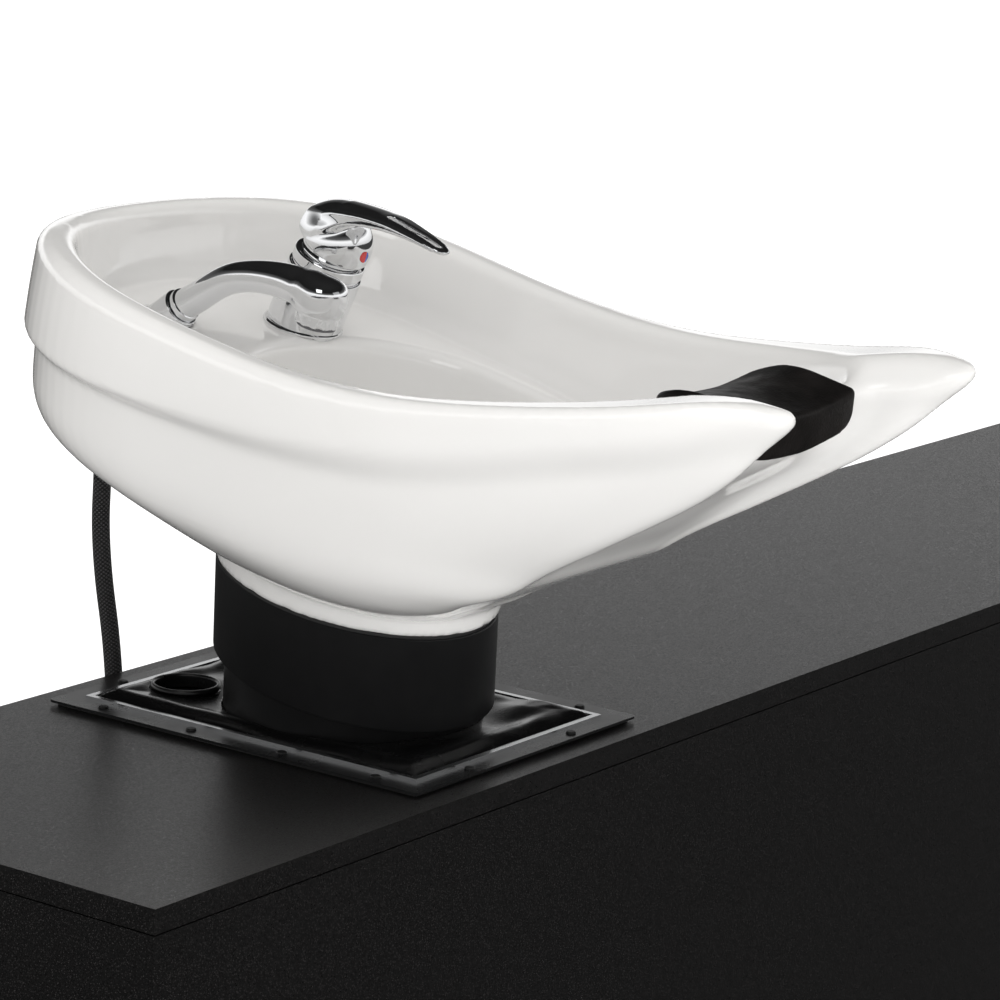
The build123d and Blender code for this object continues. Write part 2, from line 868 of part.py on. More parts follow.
def step_line():
    """The edge of the thicker band round the shell, in the side view."""
    reach = basin_front
    rise = horn_height - rim_height
    return [
        (basin_back + 4 * over + wall, rim_height - rise * 0.78),
        (basin_back * 0.60, rim_height - rise * 0.73),
        (0.0, rim_height - rise * 0.56),
        (-reach * 0.25, rim_height - rise * 0.37),
        (-reach * 0.44, rim_height - rise * 0.14),
        (-reach * 0.62, rim_height + rise * 0.15),
        (-reach * 0.78, rim_height + rise * 0.42),
        (-reach * 0.92, rim_height + rise * 0.70),
        (-reach - 4 * over - wall, rim_height + rise * 0.90),
    ]


def cavity_room():
    """The hollow under the deck, which follows the shell's own back."""
    level = outline(cavity_half, cavity_back, cavity_front, 0.5, 1.0, 0.3, 1.0)
    tall = deck_height - deck_thick - cavity_low
    room = extrude(Pos(0, 0, cavity_low) * level, tall)
    return room & block(4 * cavity_half, 2 * cavity_back, 2 * tall, y=cavity_front + cavity_back, z=cavity_low - over)


def hatch_room():
    """The open way up into the hollow, from under the shell."""
    middle = (hatch_back + hatch_front) / 2
    hatch = block(2 * hatch_half, hatch_back - hatch_front, cavity_low + over, y=middle)
    return fillet(hatch.edges().filter_by(Axis.Z), hatch_corner)


def notch_room():
    """The round notch for the neck, which steepens towards the horns."""
    shoulder = notch_low + notch_radius - (notch_radius ** 2 - notch_half ** 2) ** 0.5
    slope = notch_half / (notch_low + notch_radius - shoulder)
    high = notch_low + horn_rise
    arc = ThreePointArc((-notch_half, shoulder), (0, notch_low), (notch_half, shoulder))
    right = Spline((notch_half, shoulder), (horn_half, high), tangents=[(1, slope), (1, 4 * slope)])
    left = Spline((-horn_half, high), (-notch_half, shoulder), tangents=[(1, -4 * slope), (1, -slope)])
    ceiling = high + horn_rise
    closing = Polyline((horn_half, high), (horn_half, ceiling), (-horn_half, ceiling), (-horn_half, high))
    face = make_face(Curve() + [left, arc, right, closing])
    return extrude(Plane.XZ * face, 2 * basin_front)


def make_basin():
    ceiling = horn_height * 1.2
    reach = basin_half_width, basin_back, basin_front
    above_rim = curved_cut(rim_line(), ceiling)
    above_step = curved_cut(step_line(), ceiling)
    lower = body(outer_levels_shares, *reach, 0.0) - above_step
    upper = (body(outer_levels_shares, *reach, band_step) & above_step) - above_rim
    shell = lower + upper
    shell -= inside()
    shell -= notch_room()
    foot = rod(foot_radius, foot_height + over, 0, foot_p, foot_q)
    groove_q = foot_q + foot_height * 0.3
    foot -= pipe(foot_radius + over, over + groove_depth, groove_width, 0, foot_p, groove_q)
    shell += foot
    shell -= cavity_room()
    shell -= hatch_room()
    shell -= rod(drain_radius + gap / 2, foot_q + well_floor, 0, 0, 0)
    shell -= rod(pocket_radius, well_floor - deck_thick, 0, 0, 0)
    shell -= tap_axis() * rod(tap_stud_radius + gap, 4 * deck_thick, 0, 0, -3 * deck_thick)
    shell -= socket_axis() * rod(socket_radius + gap, 8 * deck_thick, 0, 0, -4 * deck_thick)
    for x, y in carrier_bolt_places():
        shell -= rod(bolt_radius, carrier_bolt_reach, x, y, foot_q)
    return shell


def tap_axis():
    """Placement along the tap: +Z points up out of the deck."""
    return Pos(tap_x, tap_p, deck_height) * Rot(tap_lean, 0, 0)


def socket_axis():
    """Placement along the hand shower's tail: +Z points up out of the socket."""
    return Pos(shower_x, socket_p, deck_height) * Rot(socket_lean, 0, 0)


# Drain, cup and trap


def make_drain_body():
    flange = rod(drain_flange_radius, drain_flange, 0, 0, well_floor)
    flange = chamfer(flange.edges().filter_by(GeomType.CIRCLE).sort_by(Axis.Z)[-1], drain_flange * 0.5)
    tail = rod(drain_radius, drain_tail, 0, 0, well_floor - drain_tail)
    return flange + tail - rod(drain_bore, drain_tail + 4 * over, 0, 0, well_floor - drain_tail - over)


def make_drain_gasket():
    high = well_floor - deck_thick
    return pipe(drain_nut_radius, drain_nut_radius - drain_radius, drain_gasket, 0, 0, high - drain_gasket)


def make_drain_nut():
    high = well_floor - deck_thick - drain_gasket
    return hex_nut(drain_nut_radius, drain_nut, drain_radius, 0, 0, high - drain_nut)


def make_strainer():
    """A low dome with holes, a knob to lift it by and a short skirt in the drain's bore."""
    low = well_floor + drain_flange
    ball = (strainer_radius ** 2 + strainer_dome ** 2) / (2 * strainer_dome)
    dome = Pos(0, 0, low + strainer_dome - ball + strainer_thick) * Sphere(ball)
    dome &= rod(strainer_radius, strainer_dome + strainer_thick, 0, 0, low)
    dome -= Pos(0, 0, low + strainer_dome - ball) * Sphere(ball) & rod(
        strainer_radius - strainer_thick, strainer_dome, 0, 0, low - over + over)
    for k in range(strainer_holes):
        angle = 2 * pi * k / strainer_holes
        x, y = strainer_hole_circle * cos(angle), strainer_hole_circle * sin(angle)
        dome -= rod(strainer_hole, 4 * over, x, y, low - over)
    skirt = pipe(drain_bore - strainer_play, strainer_thick, strainer_skirt + over, 0, 0, low - strainer_skirt)
    knob = rod(strainer_knob_radius, strainer_knob + over, 0, 0, low + strainer_dome - over + strainer_thick)
    knob = fillet(knob.edges().filter_by(GeomType.CIRCLE).sort_by(Axis.Z)[-1], strainer_thick / 2)
    return dome + skirt + knob


def make_waste_cup():
    """A wide cup hung in the base plate, so the tail may swing over it."""
    x, y = basin_x, axle_y
    low = under_top + cup_flange - cup_depth
    cup = rod(cup_radius, cup_depth + cup_over_top, x, y, low)
    cup -= rod(cup_radius - cup_wall, cup_depth + 2 * over, x, y, low + cup_wall)
    cup += pipe(cup_flange_radius, cup_flange_radius - cup_radius + cup_wall / 2, cup_flange, x, y, under_top)
    cup += rod(cup_neck_radius, cup_neck, x, y, low - cup_neck)
    return cup - rod(cup_neck_radius - cup_wall, cup_neck + 4 * over, x, y, low - cup_neck - over)


def make_trap_body():
    x, y = basin_x, axle_y
    bottle = rod(trap_radius, trap_height, x, y, trap_top - trap_height)
    bottle = fillet(bottle.edges().filter_by(GeomType.CIRCLE).sort_by(Axis.Z)[0], trap_wall)
    inner = rod(trap_radius - trap_wall, trap_height - trap_lid - trap_wall, x, y, trap_top - trap_height + trap_wall)
    reach = rear_y + wall_rosette + 2 * over - y
    outlet = rod_y(trap_outlet_radius, reach, x, y, trap_outlet_z)
    bore = rod_y(trap_outlet_radius - trap_wall, reach + over, x, y, trap_outlet_z)
    body_shape = bottle + outlet - inner - bore
    return body_shape - rod(cup_neck_radius, 2 * trap_lid, x, y, trap_top - trap_lid)


def make_trap_nut():
    x, y = basin_x, axle_y
    return pipe(trap_nut_radius, trap_nut_radius - cup_neck_radius, trap_nut, x, y, trap_top)


def make_trap_cap():
    """The screw cap under the bottle, for cleaning."""
    x, y = basin_x, axle_y
    low = trap_top - trap_height
    cap = rod(trap_radius - 2 * trap_wall, trap_nut, x, y, low - trap_nut)
    return chamfer(cap.edges().filter_by(GeomType.CIRCLE).sort_by(Axis.Z)[0], trap_wall / 2)


def make_wall_rosette():
    bore = trap_outlet_radius
    ring = rod_y(wall_rosette_radius, wall_rosette, basin_x, rear_y, trap_outlet_z)
    return ring - rod_y(bore, wall_rosette + 2 * over, basin_x, rear_y - over, trap_outlet_z)


# Tap, in its own axis


def above_deck(low, size):
    """A block that stands on a level a little above the deck."""
    return block(size, size, size, x=tap_x, y=tap_p, z=deck_height + low)


def make_tap_foot():
    ring = rod(tap_foot_radius, tap_foot, tap_x, tap_p, deck_height)
    ring = chamfer(ring.edges().filter_by(GeomType.CIRCLE).sort_by(Axis.Z)[-1], tap_foot / 3)
    return ring - tap_axis() * rod(tap_stud_radius + gap / 2, 8 * tap_foot, 0, 0, -4 * tap_foot)


def make_tap_body():
    shape = rod(tap_radius, tap_length + tap_foot + tap_stud, 0, 0, -tap_stud)
    shape = chamfer(shape.edges().filter_by(GeomType.CIRCLE).sort_by(Axis.Z)[-1], tap_foot / 4)
    shape = (tap_axis() * shape) & above_deck(tap_foot, 8 * tap_radius)
    stud = rod(tap_stud_radius, tap_stud + 2 * tap_foot, 0, 0, -tap_stud)
    for inlet in make_tap_inlets():
        stud += inlet
    return shape + tap_axis() * stud


def make_tap_inlets():
    return [rod(inlet_radius, inlet_length, side * inlet_spread, 0, -tap_stud - inlet_length) for side in (-1, 1)]


def tap_nut_high():
    """Where the level underside of the deck lies along the tap's own axis."""
    return -deck_thick / cos(radians(tap_lean))


def make_tap_washer():
    ring = rod(tap_nut_radius, 2 * tap_washer, tap_x, tap_p - tap_nut_high() * sin(radians(tap_lean)),
               deck_height - deck_thick - 2 * tap_washer)
    ring -= tap_axis() * rod(tap_stud_radius, 4 * deck_thick, 0, 0, -3 * deck_thick)
    return ring


def make_tap_nut():
    slope = tap_nut_radius * sin(radians(tap_lean))
    nut = hex_nut(tap_nut_radius, tap_nut, tap_stud_radius, 0, 0, tap_nut_high() - 2 * tap_washer - slope - tap_nut)
    return tap_axis() * nut


tap_neck_low = tap_foot + tap_length + tap_ring


def make_tap_ring():
    return tap_axis() * rod(tap_ring_radius, tap_ring, 0, 0, tap_foot + tap_length)


def make_tap_neck():
    """The turning neck with the ball that carries the hood."""
    neck = rod(tap_neck_radius, tap_neck - gap, 0, 0, tap_neck_low + gap)
    neck += Pos(0, 0, tap_ball_high) * Sphere(tap_ball_radius) & block(
        4 * tap_radius, 4 * tap_radius, 4 * tap_radius, z=tap_neck_low + gap)
    neck -= rod_x(hood_pin_bore, 4 * tap_radius, -2 * tap_radius, 0, tap_ball_high)
    return tap_axis() * neck


def hood_plane_cut():
    """Everything above the hood's sloping mouth, which dips to the front."""
    far = 4 * tap_radius
    slope = (hood_back_rise + hood_front_drop) / (2 * tap_radius)
    middle = tap_ball_high + (hood_back_rise - hood_front_drop) / 2
    line = Polyline((-far, middle - far * slope), (far, middle + far * slope), (far, far * 3), (-far, far * 3),
                    (-far, middle - far * slope))
    return Pos(far / 2, 0, 0) * extrude(Plane.YZ * make_face(line), far, dir=(-1, 0, 0))


def make_tap_hood():
    """The hood with its lever, one casting."""
    inner = tap_ball_radius + gap
    high = tap_ball_high
    hood = (Pos(0, 0, high) * Sphere(inner + hood_wall)) & hood_plane_cut()
    tip = (-lever_reach, high + lever_rise)
    bend = (-lever_bend_reach, high + lever_bend_rise)
    root = (lever_thick, high + inner + hood_wall - lever_thick / 4)
    tip_under = (tip[0], tip[1] - lever_thick * 0.7)
    middle_under = ((tip[0] + bend[0]) / 2, (tip[1] + bend[1]) / 2 - lever_thick * 0.7)
    bend_under = (bend[0], bend[1] - lever_thick)
    root_under = (-lever_root_high, high + lever_root_high)
    under = Spline(tip_under, middle_under, bend_under, root_under)
    edges = [Spline(root, bend, tip), Line(tip, tip_under), under, Line(root_under, root)]
    side = make_face(Curve() + edges)
    lever = Pos(lever_width, 0, 0) * extrude(Plane.YZ * side, 2 * lever_width, dir=(-1, 0, 0))
    lever &= extrude(lever_plan(), 3 * high)
    hood += lever
    hood -= Pos(0, 0, high) * Sphere(inner)
    for start in (-hood_pin_outer, hood_pin_inner):
        hood += rod_x(hood_pin_radius, hood_pin_outer - hood_pin_inner, start, 0, high)
    return tap_axis() * hood


def lever_plan():
    """The lever from above: drawn in towards its tip, with a long slot."""
    half = lever_width / 2
    tip = lever_tip_width / 2
    plan = make_face(Polyline((-half, 2 * over), (half, 2 * over), (half, -lever_root_high), (tip, -lever_reach),
                              (-tip, -lever_reach), (-half, -lever_root_high), (-half, 2 * over)))
    plan = fillet(plan.vertices().sort_by(Axis.Y)[:2], tip * 0.9)
    slot_middle = -lever_reach + lever_slot_end + lever_slot_length / 2
    return plan - Pos(0, slot_middle) * Rot(0, 0, 90) * SlotOverall(lever_slot_length, lever_slot_width)


def dot_axis():
    """Placement on the hood's front, facing out."""
    return tap_axis() * Pos(0, 0, tap_ball_high) * Rot(82, 0, 0)


def make_tap_dot():
    reach = tap_ball_radius + gap + hood_wall
    dot = rod(tap_dot_radius, reach, 0, 0, over) & Sphere(reach + tap_dot)
    return dot_axis() * (dot - Sphere(reach))


# Hand shower, in the axes of its socket


def make_shower_socket():
    flange = rod(socket_flange_radius, socket_flange, shower_x, socket_p, deck_height)
    flange = fillet(flange.edges().filter_by(GeomType.CIRCLE).sort_by(Axis.Z)[-1], socket_flange * 0.6)
    sleeve = socket_axis() * rod(socket_radius, socket_height + socket_below, 0, 0, -socket_below)
    shape = flange + sleeve
    return shape - socket_axis() * rod(socket_bore, 8 * deck_thick, 0, 0, -4 * deck_thick)


def make_socket_nut():
    """A plate clamped under the deck, round the leaning sleeve."""
    drift = deck_thick * tan(radians(socket_lean))
    plate = rod(socket_nut_radius + socket_nut, socket_nut, shower_x, socket_p + drift,
                deck_height - deck_thick - socket_nut)
    return plate - socket_axis() * rod(socket_radius, 8 * deck_thick, 0, 0, -4 * deck_thick)


def shower_place():
    """The hand shower's side view stands at its own x."""
    return Pos(shower_x, 0, 0)


def make_shower_body():
    lean = radians(socket_lean)
    start = (0, socket_p - handle_collar * sin(lean), deck_height + handle_collar * cos(lean))
    path = Spline(start, (0, handle_mid_p, handle_mid_q), (0, handle_far_p, handle_far_q), (0, head_p, head_q),
                  tangents=[(0, -sin(lean), cos(lean)), (0, -1, -0.25)])
    grip = sweep(Plane(start, x_dir=(1, 0, 0), z_dir=(0, -sin(lean), cos(lean))) * Circle(handle_radius), path=path)
    head = rod(head_radius, head_high - head_low, 0, head_p, head_low)
    head = fillet(head.edges().filter_by(GeomType.CIRCLE).sort_by(Axis.Z)[-1], head_edge)
    head -= rod(rose_radius, rose_sunk, 0, head_p, head_low)
    shape = shower_place() * (grip + head)
    tail = rod(handle_tail_radius, tail_reach + handle_collar, 0, 0, -tail_reach)
    collar = rod(handle_collar_radius, handle_collar - socket_height - gap + over / 2, 0, 0, socket_height + gap)
    return shape + socket_axis() * (tail + collar)


def make_shower_rose():
    """The soft nozzle plate in the head."""
    high = head_low + rose_sunk
    rose = rod(rose_radius, rose_height, 0, head_p, high - rose_height)
    for k in range(nozzles):
        angle = 2 * pi * k / nozzles
        x, y = nozzle_circle * cos(angle), nozzle_circle * sin(angle)
        rose += rod(nozzle_radius, nozzle_height, x, head_p + y, high - rose_height - nozzle_height)
    return shower_place() * rose


def make_tail_nut():
    nut = rod(tail_nut_radius, tail_nut, 0, 0, -tail_reach - tail_nut)
    return socket_axis() * nut


# Shower hose, in the room


hose_route = [
    (-55.0, 195.4, 901.3),
    (-55.0, 206.3, 884.5),
    (-53.0, 211.0, 865.0),
    (-47.0, 212.5, 820.0),
    (-51.0, 211.5, 745.0),
    (-27.0, 212.0, 640.0),
    (-22.0, 213.0, 520.0),
    (-27.0, 212.5, 390.0),
    (-30.0, 213.0, 260.0),
    (-30.0, 213.0, 150.0),
    (17.4, 213.0, 102.6),
    (84.4, 213.0, 102.6),
    (131.8, 213.0, 150.0),
    (134.0, 213.0, 250.0),
    (131.8, 213.0, 340.0),
]
hose_up_x = basin_x + hose_route[-1][0]
hose_y = hose_route[-1][1]
hose_end = hose_route[-1][2]


def hose_points():
    """Corners of the hose's lie in the room, from the hand shower's tail to the union."""
    return [(basin_x + x, y, z) for x, y, z in hose_route]


def corner_turn(a, b, c):
    """The angle a hose turns through at b."""
    u = Vector(*b) - Vector(*a)
    v = Vector(*c) - Vector(*b)
    return acos(max(-1.0, min(1.0, u.dot(v) / (u.length * v.length))))


def hose_radii(points):
    radii = []
    for a, b, c in zip(points, points[1:], points[2:]):
        shorter = min((Vector(*b) - Vector(*a)).length, (Vector(*c) - Vector(*b)).length)
        radii.append(0.45 * shorter / tan(corner_turn(a, b, c) / 2))
    return radii


def make_shower_hose():
    points = hose_points()
    radii = hose_radii(points)
    path = FilletPolyline(*points, radius=radii)
    start = Plane(points[0], z_dir=Vector(*points[1]) - Vector(*points[0]))
    hose = sweep(start * Circle(hose_radius), path=path)
    length = path.length
    print("hose radii", [round(r) for r in radii], "length", round(length), "volume share",
          round(hose.volume / (pi * hose_radius ** 2 * length), 3))
    return hose


def make_hose_union():
    """An elbow whose level leg is held in the rear board."""
    elbow = rod(union_radius, union_length + union_radius, hose_up_x, hose_y, union_height - union_length)
    elbow = fillet(elbow.edges().filter_by(GeomType.CIRCLE).sort_by(Axis.Z)[-1], union_radius * 0.8)
    start = inner_rear_y - union_nut - over
    return elbow + rod_y(union_leg_radius, hose_y - start, hose_up_x, start, union_height)


def make_union_flange():
    ring = rod_y(union_flange_radius, union_flange, hose_up_x, rear_y, union_height)
    return ring - rod_y(union_leg_radius, union_flange + 2 * over, hose_up_x, rear_y - over, union_height)


def make_union_nut():
    nut = rod_y(union_nut_radius, union_nut, hose_up_x, inner_rear_y - union_nut, union_height)
    return nut - rod_y(union_leg_radius, union_nut + 2 * over, hose_up_x, inner_rear_y - union_nut - over, union_height)


# Neck rest, in the basin's own axes


def make_neck_rest():
    """A padded saddle: its side view is turned about the axis of the notch."""
    low = notch_low + gap / 3
    high = low + rest_thick
    front = rest_fold_p + rest_flap
    dip_low, dip_high = low - rest_inner_drop, high - rest_inner_drop
    outline_line = Polyline((-rest_inner_p, dip_low), (-rest_lip_p, low), (-rest_fold_p, low),
                            (-rest_fold_p, rest_flap_low), (-front, rest_flap_low), (-front, high),
                            (-rest_lip_p, high), (-rest_inner_p, dip_high), (-rest_inner_p, dip_low))
    side = make_face(outline_line)
    side = fillet([v for v in side.vertices() if v.Y < rest_flap_low + over or v.Y > low + over or
                   v.X > -rest_inner_p - over], rest_round)
    axis_q = notch_low + notch_radius
    turned = Plane.YZ * side
    axis = Axis((0, 0, axis_q), (0, 1, 0))
    rest = revolve(turned, axis, rest_half_angle) + revolve(turned, axis, -rest_half_angle)
    deep = 2 * (front - rest_inner_p)
    plan = block(2 * rest_half_width, deep, 2 * notch_low, y=-rest_inner_p - deep / 2)
    corners = plan.edges().filter_by(Axis.Z).sort_by(Axis.Y)[-2:]
    return rest & fillet(corners, rest_plan_corner)


def build():
    save("cabinet_top", make_cabinet_top())
    save("front_panel", make_front_panel())
    save("end_panels", make_end_panel(-1), make_end_panel(1))
    save("cabinet_dividers", *make_dividers())
    save("bottom_panel", make_bottom_panel())
    save("top_rails", *make_rails())
    save("plinth", *make_plinth())
    save("rear_panels", make_rear_panel_left(), make_rear_panel_right())
    save("rear_screws", *make_rear_screws())
    save("service_door", make_service_door())
    save("door_hinge_fixed", *make_fixed_leaves())
    save("door_hinge_moving", *make_door_leaves())
    save("door_hinge_pins", *make_hinge_pins())
    save("door_knob", make_door_knob())
    save("door_catch", make_door_catch())
    save("frame_gasket", make_frame_gasket())
    save("mounting_frame", make_mounting_frame())
    save("frame_screws", *make_frame_screws())
    save("bright_strip", make_bright_strip())
    save("splash_skirt", make_splash_skirt())
    save("hose_ring", make_hose_ring())
    save("base_plate", make_base_plate())
    save("base_bolts", *make_base_bolts())
    save("base_nuts", *make_base_nuts())
    save("base_tube", make_base_tube())
    save("axle_cheeks", *make_axle_cheeks())
    save("stub_axles", *make_stub_axles())
    save("friction_discs", *make_friction_discs())
    save("tilt_sleeve", in_room(make_tilt_sleeve()))
    save("carrier", in_room(make_carrier()))
    save("carrier_bushes", *[in_room(bush) for bush in make_bushes()])
    save("carrier_bolts", *[in_room(bolt) for bolt in make_carrier_bolts()])
    save("foot_gasket", *[in_room(ring) for ring in make_foot_gasket()])
    save("drain_body", in_room(make_drain_body()))
    save("drain_gasket", in_room(make_drain_gasket()))
    save("drain_nut", in_room(make_drain_nut()))
    save("strainer", in_room(make_strainer()))
    save("waste_cup", make_waste_cup())
    save("trap_body", make_trap_body())
    save("trap_nuts", make_trap_nut(), make_trap_cap())
    save("rear_rosettes", make_wall_rosette(), make_union_flange())
    save("tap_foot", in_room(make_tap_foot()))
    save("tap_body", in_room(make_tap_body()))
    save("tap_washer", in_room(make_tap_washer()))
    save("tap_nut", in_room(make_tap_nut()))
    save("tap_ring", in_room(make_tap_ring()))
    save("tap_neck", in_room(make_tap_neck()))
    save("tap_hood", in_room(make_tap_hood()))
    save("temperature_dot", in_room(make_tap_dot()))
    save("shower_socket", in_room(make_shower_socket()))
    save("socket_nut", in_room(make_socket_nut()))
    save("shower_body", in_room(make_shower_body()))
    save("shower_rose", in_room(make_shower_rose()))
    save("shower_tail_nut", in_room(make_tail_nut()))
    save("shower_hose", make_shower_hose())
    save("hose_union", make_hose_union())
    save("union_nut", make_union_nut())
    save("neck_rest", in_room(make_neck_rest()))
    save("basin", in_room(make_basin()))


if __name__ == "__main__":
    build()
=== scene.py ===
import bmesh
import bpy
import json
import math
import numpy as np
from mathutils import Matrix, Vector


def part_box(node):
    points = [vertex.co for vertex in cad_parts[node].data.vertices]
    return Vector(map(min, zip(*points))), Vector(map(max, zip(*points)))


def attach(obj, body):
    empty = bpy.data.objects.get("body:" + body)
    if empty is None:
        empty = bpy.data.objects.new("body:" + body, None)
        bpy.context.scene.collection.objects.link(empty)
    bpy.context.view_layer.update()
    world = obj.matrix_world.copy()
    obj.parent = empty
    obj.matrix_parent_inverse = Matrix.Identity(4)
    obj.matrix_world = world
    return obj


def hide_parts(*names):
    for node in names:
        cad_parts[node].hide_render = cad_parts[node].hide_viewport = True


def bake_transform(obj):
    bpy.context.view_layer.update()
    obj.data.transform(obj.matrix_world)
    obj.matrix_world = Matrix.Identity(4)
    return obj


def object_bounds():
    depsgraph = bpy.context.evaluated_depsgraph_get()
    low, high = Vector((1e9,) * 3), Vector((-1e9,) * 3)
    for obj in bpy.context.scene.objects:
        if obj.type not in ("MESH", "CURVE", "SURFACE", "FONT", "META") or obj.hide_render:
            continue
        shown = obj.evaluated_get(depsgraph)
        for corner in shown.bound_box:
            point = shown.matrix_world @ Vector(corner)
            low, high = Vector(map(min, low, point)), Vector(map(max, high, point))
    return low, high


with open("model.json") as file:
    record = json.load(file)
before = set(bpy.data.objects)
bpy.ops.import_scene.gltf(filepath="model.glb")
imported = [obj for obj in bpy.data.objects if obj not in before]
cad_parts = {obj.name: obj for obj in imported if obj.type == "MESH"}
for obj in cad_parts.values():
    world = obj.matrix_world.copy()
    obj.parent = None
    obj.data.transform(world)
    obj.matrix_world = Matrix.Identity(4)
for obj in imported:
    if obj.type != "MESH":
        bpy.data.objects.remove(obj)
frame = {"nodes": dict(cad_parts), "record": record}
nodes = frame["nodes"]
cad_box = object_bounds()
cad_box = [list(cad_box[0]), list(cad_box[1])]
scene = bpy.context.scene

# Lengths are in millimetres until mapped() turns points into metres

METRE = 1000.0


# Places of the CAD's own axes

basin_x = -520.0
axle_y = -8.5
top_z = 640.0
axle_rise = 37.5
axle_z = top_z + axle_rise
tilt = 12.5
deck = 222.0
tap_x, tap_p, tap_lean = 52, 155, 11
socket_x, socket_p, socket_lean = -55, 206, 42
ring_x, ring_y = -55, 115


def shifted(x, y, z):
    m = np.eye(4)
    m[:3, 3] = (x, y, z)
    return m


def leaned(degrees):
    """A turn about +X."""
    m = np.eye(4)
    c, s = math.cos(math.radians(degrees)), math.sin(math.radians(degrees))
    m[1, 1], m[1, 2], m[2, 1], m[2, 2] = c, -s, s, c
    return m


ROOM = np.eye(4)
BASIN = shifted(basin_x, axle_y, axle_z) @ leaned(tilt)
TAP = BASIN @ shifted(tap_x, tap_p, deck) @ leaned(tap_lean)
SOCKET = BASIN @ shifted(socket_x, socket_p, deck) @ leaned(socket_lean)
COLUMN = shifted(basin_x, axle_y, top_z)


def mapped(place, points):
    points = np.asarray(points, float)
    return (points @ place[:3, :3].T + place[:3, 3]) / METRE


def linked(name, data):
    """A new object in the scene."""
    o = bpy.data.objects.new(name, data)
    scene.collection.objects.link(o)
    return o


# Camera

camera_place = (-2.797, -1.7303, 1.4501)
camera_lens = 136.8
look_f = Vector((0.8002, 0.5592, -0.2168)).normalized()
look_u = Vector((0.1507, 0.1625, 0.9751))
look_r = look_f.cross(look_u).normalized()
look_u = look_r.cross(look_f).normalized()
camera_data = bpy.data.cameras.new("camera")
camera_data.lens = camera_lens
camera_data.sensor_width = 36
camera_data.sensor_fit = "HORIZONTAL"
camera_data.clip_end = 40
camera = linked("camera", camera_data)
turn = Matrix((look_r, look_u, -look_f)).transposed()
camera.matrix_world = Matrix.Translation(camera_place) @ turn.to_4x4()
scene.camera = camera
scene.view_settings.view_transform = "Standard"


# Materials


def fill_ramp(ramp, stops):
    """Stops of a place and a grey or a colour."""
    while len(ramp.elements) < len(stops):
        ramp.elements.new(0.5)
    for element, (at, colour) in zip(ramp.elements, stops):
        element.position = at
        element.color = (*colour, 1) if hasattr(colour, "__len__") else (colour, colour, colour, 1)


def put(node, values):
    """Values of a node's own inputs."""
    for key, value in values.items():
        node.inputs[key].default_value = value
    return node


class Nodes:
    """A material's node tree, with short calls for the nodes it uses."""

    def __init__(self, name, base, rough, metal=0.0, coat=0.0, coat_rough=0.1, specular=0.5, sheen=0.0):
        self.material = bpy.data.materials.new(name)
        self.material.use_nodes = True
        self.tree = self.material.node_tree
        self.shader = self.tree.nodes["Principled BSDF"]
        put(self.shader, {
            "Base Color": (*base, 1), "Roughness": rough, "Metallic": metal, "Coat Weight": coat,
            "Coat Roughness": coat_rough, "Specular IOR Level": specular, "Sheen Weight": sheen})
        self.place = self.add("ShaderNodeTexCoord").outputs["Object"]
        self.height = None

    def add(self, kind, **settings):
        node = self.tree.nodes.new(kind)
        for key, value in settings.items():
            setattr(node, key, value)
        return node

    def link(self, a, b):
        self.tree.links.new(a, b)

    def noise(self, scale, detail=3.0, rough=0.55, stretch=None, distortion=0.0):
        values = {"Scale": scale, "Detail": detail, "Roughness": rough, "Distortion": distortion}
        node = put(self.add("ShaderNodeTexNoise"), values)
        self.link(self.stretched(stretch), node.inputs["Vector"])
        return node.outputs["Fac"]

    def stretched(self, stretch):
        if stretch is None:
            return self.place
        node = put(self.add("ShaderNodeMapping"), {"Scale": stretch})
        self.link(self.place, node.inputs["Vector"])
        return node.outputs["Vector"]

    def cells(self, scale, feature="F1", stretch=None):
        node = put(self.add("ShaderNodeTexVoronoi", feature=feature), {"Scale": scale})
        self.link(self.stretched(stretch), node.inputs["Vector"])
        return node.outputs["Distance"]

    def ramp(self, value, stops):
        node = self.add("ShaderNodeValToRGB")
        fill_ramp(node.color_ramp, stops)
        self.link(value, node.inputs["Fac"])
        return node.outputs["Color"]

    def span(self, value, low, high, from_low=0.3, from_high=0.7):
        values = {"From Min": from_low, "From Max": from_high, "To Min": low, "To Max": high}
        node = put(self.add("ShaderNodeMapRange"), values)
        self.link(value, node.inputs["Value"])
        return node.outputs["Result"]

    def math(self, operation, a, b=None, c=None):
        node = self.add("ShaderNodeMath", operation=operation)
        for k, value in enumerate((a, b, c)):
            if value is None:
                continue
            if isinstance(value, (int, float)):
                node.inputs[k].default_value = value
            else:
                self.link(value, node.inputs[k])
        return node.outputs[0]

    def colour(self, value):
        self.link(value, self.shader.inputs["Base Color"])

    def roughness(self, value):
        self.link(value, self.shader.inputs["Roughness"])

    def bump(self, value, distance, strength=1.0):
        """Distance in metres."""
        node = put(self.add("ShaderNodeBump"), {"Strength": strength, "Distance": distance})
        self.link(value, node.inputs["Height"])
        if self.height is not None:
            self.link(self.height, node.inputs["Normal"])
        self.height = node.outputs["Normal"]
        self.link(self.height, self.shader.inputs["Normal"])
        return self


def make_laminate():
    m = Nodes("laminate", (0.003, 0.0028, 0.0028), 0.36, specular=0.42)
    fleck = m.cells(620)
    patch = m.noise(900, 2.0)
    mixed = m.math("MULTIPLY", fleck, patch)
    pale, mid, dark = (0.040, 0.037, 0.037), (0.0036, 0.0033, 0.0033), (0.0012, 0.0011, 0.0011)
    m.colour(m.ramp(mixed, [(0.04, pale), (0.13, mid), (0.45, dark)]))
    m.roughness(m.span(m.noise(640, 2.0), 0.27, 0.44))
    m.bump(m.noise(900, 2.0), 0.00011)
    return m.material


